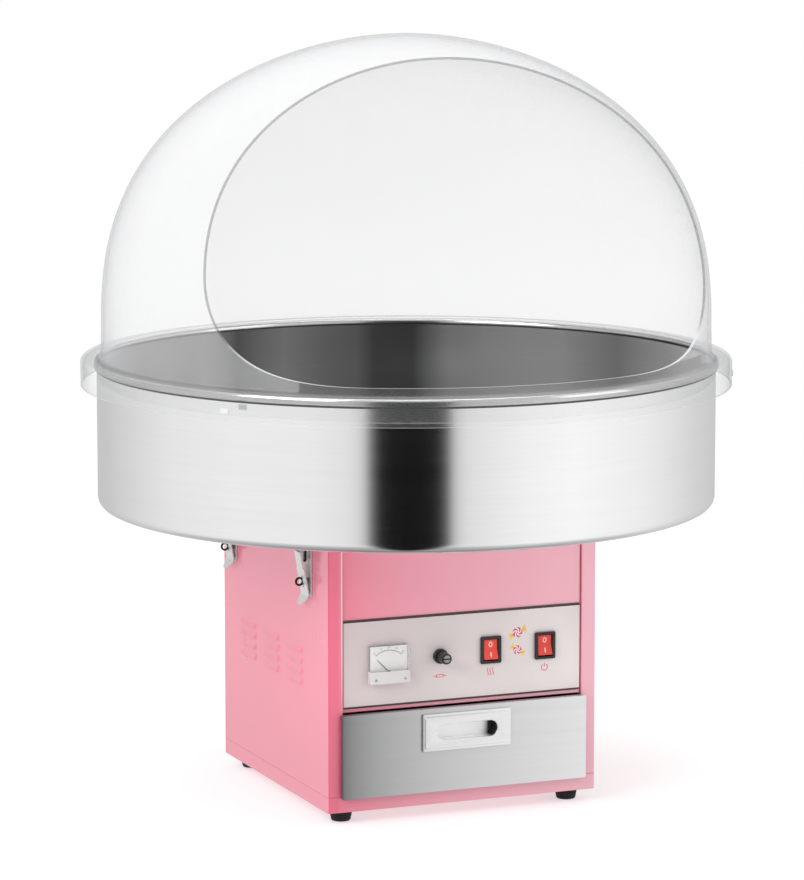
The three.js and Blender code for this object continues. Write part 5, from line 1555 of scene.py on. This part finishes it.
def makeBowl():
    z, top = boxOf("bowl_floor")[0].z, boxOf("bowl_wall")[1].z
    r, t, hole, bend = bowl["radius"], bowl["sheet"], bowl["hole"], bowl["bend"]
    beadWide, beadTall = bowl["beadWide"] / 2, bowl["beadTall"] / 2
    beadX, beadZ = r - t + beadWide, top - beadTall
    corner, foot_, inner = r - bowl["corner"], z + bowl["corner"], r - t
    curl = arc(beadX, beadZ, beadWide, bowl["seamFrom"], 180, 26, beadTall)[:-1]
    shadeSteps, neck = bowl["seamSteps"], (hole + bend, z + bend)
    runs = [
        (0, [(hole, z + bowl["collar"])] + arc(*neck, bend, 180, 270, 6)
            + [(hole + bend + 2, z), (corner - 2, z)]
            + arc(corner, foot_, bowl["corner"], -90, 0, 14) + [(r, foot_ + 2)]),
        # painted shade in dark steel under the rolled rim
        (3, [(r, beadZ - beadTall - 0.6)] + curl[:shadeSteps]),
        (2, curl[shadeSteps:]),
        # painted shade in dark steel on the rim's inner side
        (3, [(inner, beadZ)]),
        (1, [(inner, beadZ - 1.8), (inner, foot_ + 2)] + arc(corner, foot_, bowl["corner"] - t, 0, -90, 14)),
        (4, [(corner - 2, z + t), (hole + bend + 2, z + t)] + arc(*neck, bend - t, 270, 180, 6)
            + [(hole + t, z + bowl["collar"])]),
    ]
    profile, skins = [], []
    for skin, points in runs:
        profile += points
        skins += [skin] * len(points)
    pan = turned("bowlPan", profile, bowl["segments"],
                 [bowlOutside, bowlInside, bowlRim, seamSteel, bowlFloor], skins=skins)
    shade(pan, 30, flat=True)
    piece(pan, bodyOf("bowl_wall"), "brushed_steel", "bowl_floor", "bowl_wall", "bowl_collar")


makeBowl()
print("bowl ready")


# Bubble cover. Within the clear strip, low at the front, its wall is as clear as the ring.
bubble = {
    "ring": 374.0, "sheet": 2.5, "skirt": 472.8, "shoulder": 5.5, "seat": 501.3, "wallLow": 350.6,
    "radius": 349.8, "shoulderZ": 538.6, "rise": 332.7, "flat": 2.451, "full": 1.907, "around": 216,
    "rings": 72, "weld": 0.02, "turn": -3.7, "forward": 205.0, "sill": 512.0, "lean": 13.3, "round": 140.0,
    "nubs": (-54, 66, 186), "nub": (11.0, 6.0, 1.6), "nubEdge": 0.75, "nubZ": 483.0,
    "strip": {"behind": Vector((0.383, 0.924, 0)), "front": -100, "left": -115, "tall": 15},
}


def crownTree():
    tree, given = geometryTree("bubbleCrown", Int=["Around", "Rings"],
                               Float=["Radius", "Rise", "Base", "Full", "Flat"])
    net = add(tree, "GeometryNodeMeshGrid", {
        "Size X": 1.0, "Size Y": 1.0, "Vertices X": calc(tree, "ADD", given["Around"], 1),
        "Vertices Y": calc(tree, "ADD", given["Rings"], 1)})
    spot = add(tree, "ShaderNodeSeparateXYZ", {0: add(tree, "GeometryNodeInputPosition").outputs[0]}).outputs
    turn = calc(tree, "MULTIPLY", calc(tree, "ADD", spot[0], 0.5), 2 * math.pi)
    climb = calc(tree, "MULTIPLY", calc(tree, "ADD", spot[1], 0.5), quarter)

    def swell(wave, power):
        return calc(tree, "POWER", calc(tree, "MAXIMUM", calc(tree, wave, climb), 0),
                    calc(tree, "DIVIDE", 2, given[power]))

    radius = calc(tree, "MULTIPLY", swell("COSINE", "Full"), given["Radius"])
    height = calc(tree, "ADD", given["Base"], calc(tree, "MULTIPLY", swell("SINE", "Flat"), given["Rise"]))
    place = vectorOf(tree, calc(tree, "MULTIPLY", radius, calc(tree, "COSINE", turn)),
                     calc(tree, "MULTIPLY", radius, calc(tree, "SINE", turn)), height)
    moved = add(tree, "GeometryNodeSetPosition", {"Geometry": net, "Position": place})
    merged = add(tree, "GeometryNodeMergeByDistance", {"Geometry": moved, "Distance": 0.00002})
    return closeTree(tree, given, merged)


def mouthKnife():
    sill, forward = bubble["sill"], bubble["forward"]
    high = bubble["shoulderZ"] + bubble["rise"] + 20
    reach, wide = bubble["ring"] + 40, bubble["ring"] + 20
    side = rounded([(forward, sill, bubble["round"]), (reach, sill), (reach, high),
                    (forward - (high - sill) * math.tan(math.radians(bubble["lean"])), high)], steps=28)
    bm = bmesh.new()
    rows = [[bm.verts.new((x * mm, -y * mm, z * mm)) for y, z in side] for x in (-wide, wide)]
    bm.faces.new(rows[0])
    bm.faces.new(rows[1][::-1])
    for i in range(len(side)):
        k = (i + 1) % len(side)
        bm.faces.new((rows[0][i], rows[1][i], rows[1][k], rows[0][k]))
    bmesh.ops.recalc_face_normals(bm, faces=bm.faces)
    for face in bm.faces:
        face.material_index = 1
    knife = toObject("mouthKnife", meshOf(bm), [bubblePlastic, sawnEdge])
    knife.data.transform(Matrix.Rotation(math.radians(bubble["turn"]), 4, "Z"))
    return knife


innerPlastic = clear("innerPlastic", (242, 242, 243), (205, 206, 208), 0.13, 0.7, haze=0.006, specular=0.05)
ringPlastic = clear("ringPlastic", (196, 197, 198), (150, 151, 153), 0.04, 0.55, haze=0.004, specular=0.1)
lipPlastic = clear("lipPlastic", (216, 217, 218), (200, 201, 202), 0.75, 0.9, roughness=0.3, specular=0.1)
# The cover's cut edge, with a painted highlight: pale below the first height given, fading out at the second
sawnEdge = clear("sawnEdge", (92, 93, 94), (80, 81, 82), 0.48, 0.56, roughness=0.3, specular=0.1,
                 low=(530, 560, (244, 245, 246)))


# Gives each face of the cover its plastic: wall outside and inside, ring with its skirt, and the skirt's lip
def skinBubble(cover, top):
    strip, heart = bubble["strip"], Vector((0, 0, bubble["shoulderZ"]))
    cover.data.materials.clear()
    for skin in (bubblePlastic, sawnEdge, ringPlastic, innerPlastic, lipPlastic):
        cover.data.materials.append(skin)
    for polygon in cover.data.polygons:
        middle, normal = polygon.center / mm, polygon.normal
        polygon.material_index = 3 if normal.dot(middle - heart) < 0 else 0
        clearer = middle.dot(strip["behind"]) < strip["front"] and middle.dot(bands["along"]) > strip["left"]
        if middle.z < top + (strip["tall"] if clearer else 1):
            polygon.material_index = 4 if normal.z < -0.9 and middle.z < top - 10 else 2


def makeStops():
    wide, tall, proud = bubble["nub"]
    stops = []
    for angle in bubble["nubs"]:
        low = (-wide / 2, -bubble["ring"] - proud, bubble["nubZ"] - tall / 2)
        high = (wide / 2, -bubble["ring"] + 1, bubble["nubZ"] + tall / 2)
        stop = roundedBox("nub", low, high, bubble["nubEdge"], [lipPlastic], 3)
        stop.data.transform(Matrix.Rotation(math.radians(angle), 4, "Z"))
        stops.append(stop)
    return stops


def makeBubble():
    crown = grown("crown", crownTree(), {
        "Radius": bubble["radius"] * mm, "Rise": bubble["rise"] * mm, "Base": bubble["shoulderZ"] * mm,
        "Full": bubble["full"], "Flat": bubble["flat"], "Around": bubble["around"], "Rings": bubble["rings"]},
        bubblePlastic)
    top, r, bend = bubble["seat"] + bubble["sheet"], bubble["ring"], bubble["shoulder"]
    shoulder = (bubble["radius"], bubble["shoulderZ"])
    corner = rounded([shoulder, (bubble["wallLow"], top, 6.0), (r - bend, top)], 6)
    profile = [shoulder, (bubble["wallLow"] - 0.2, top + 14)] + corner[1:-1] + [(r - bend - 1, top)]
    profile += arc(r - bend, top - bend, bend, 90, 0, 8) + [(r, top - bend - 1), (r, bubble["skirt"])]
    ring = turned("ring", profile[::-1], bubble["around"], [bubblePlastic], closed=False)
    whole = joined("bubbleCover", [crown, ring])
    thickened(whole, bubble["sheet"], -1.0, bubble["weld"], quality=False)
    skinBubble(whole, top)
    carve(whole, *makeStops(), operation="UNION")
    carve(whole, mouthKnife())
    shade(whole, 38)
    piece(whole, bodyOf("dome_shell"), "clear_plastic", "cover_ring", "dome_shell")


makeBubble()
bpy.data.objects.remove(crossScrew)
print("cover ready")
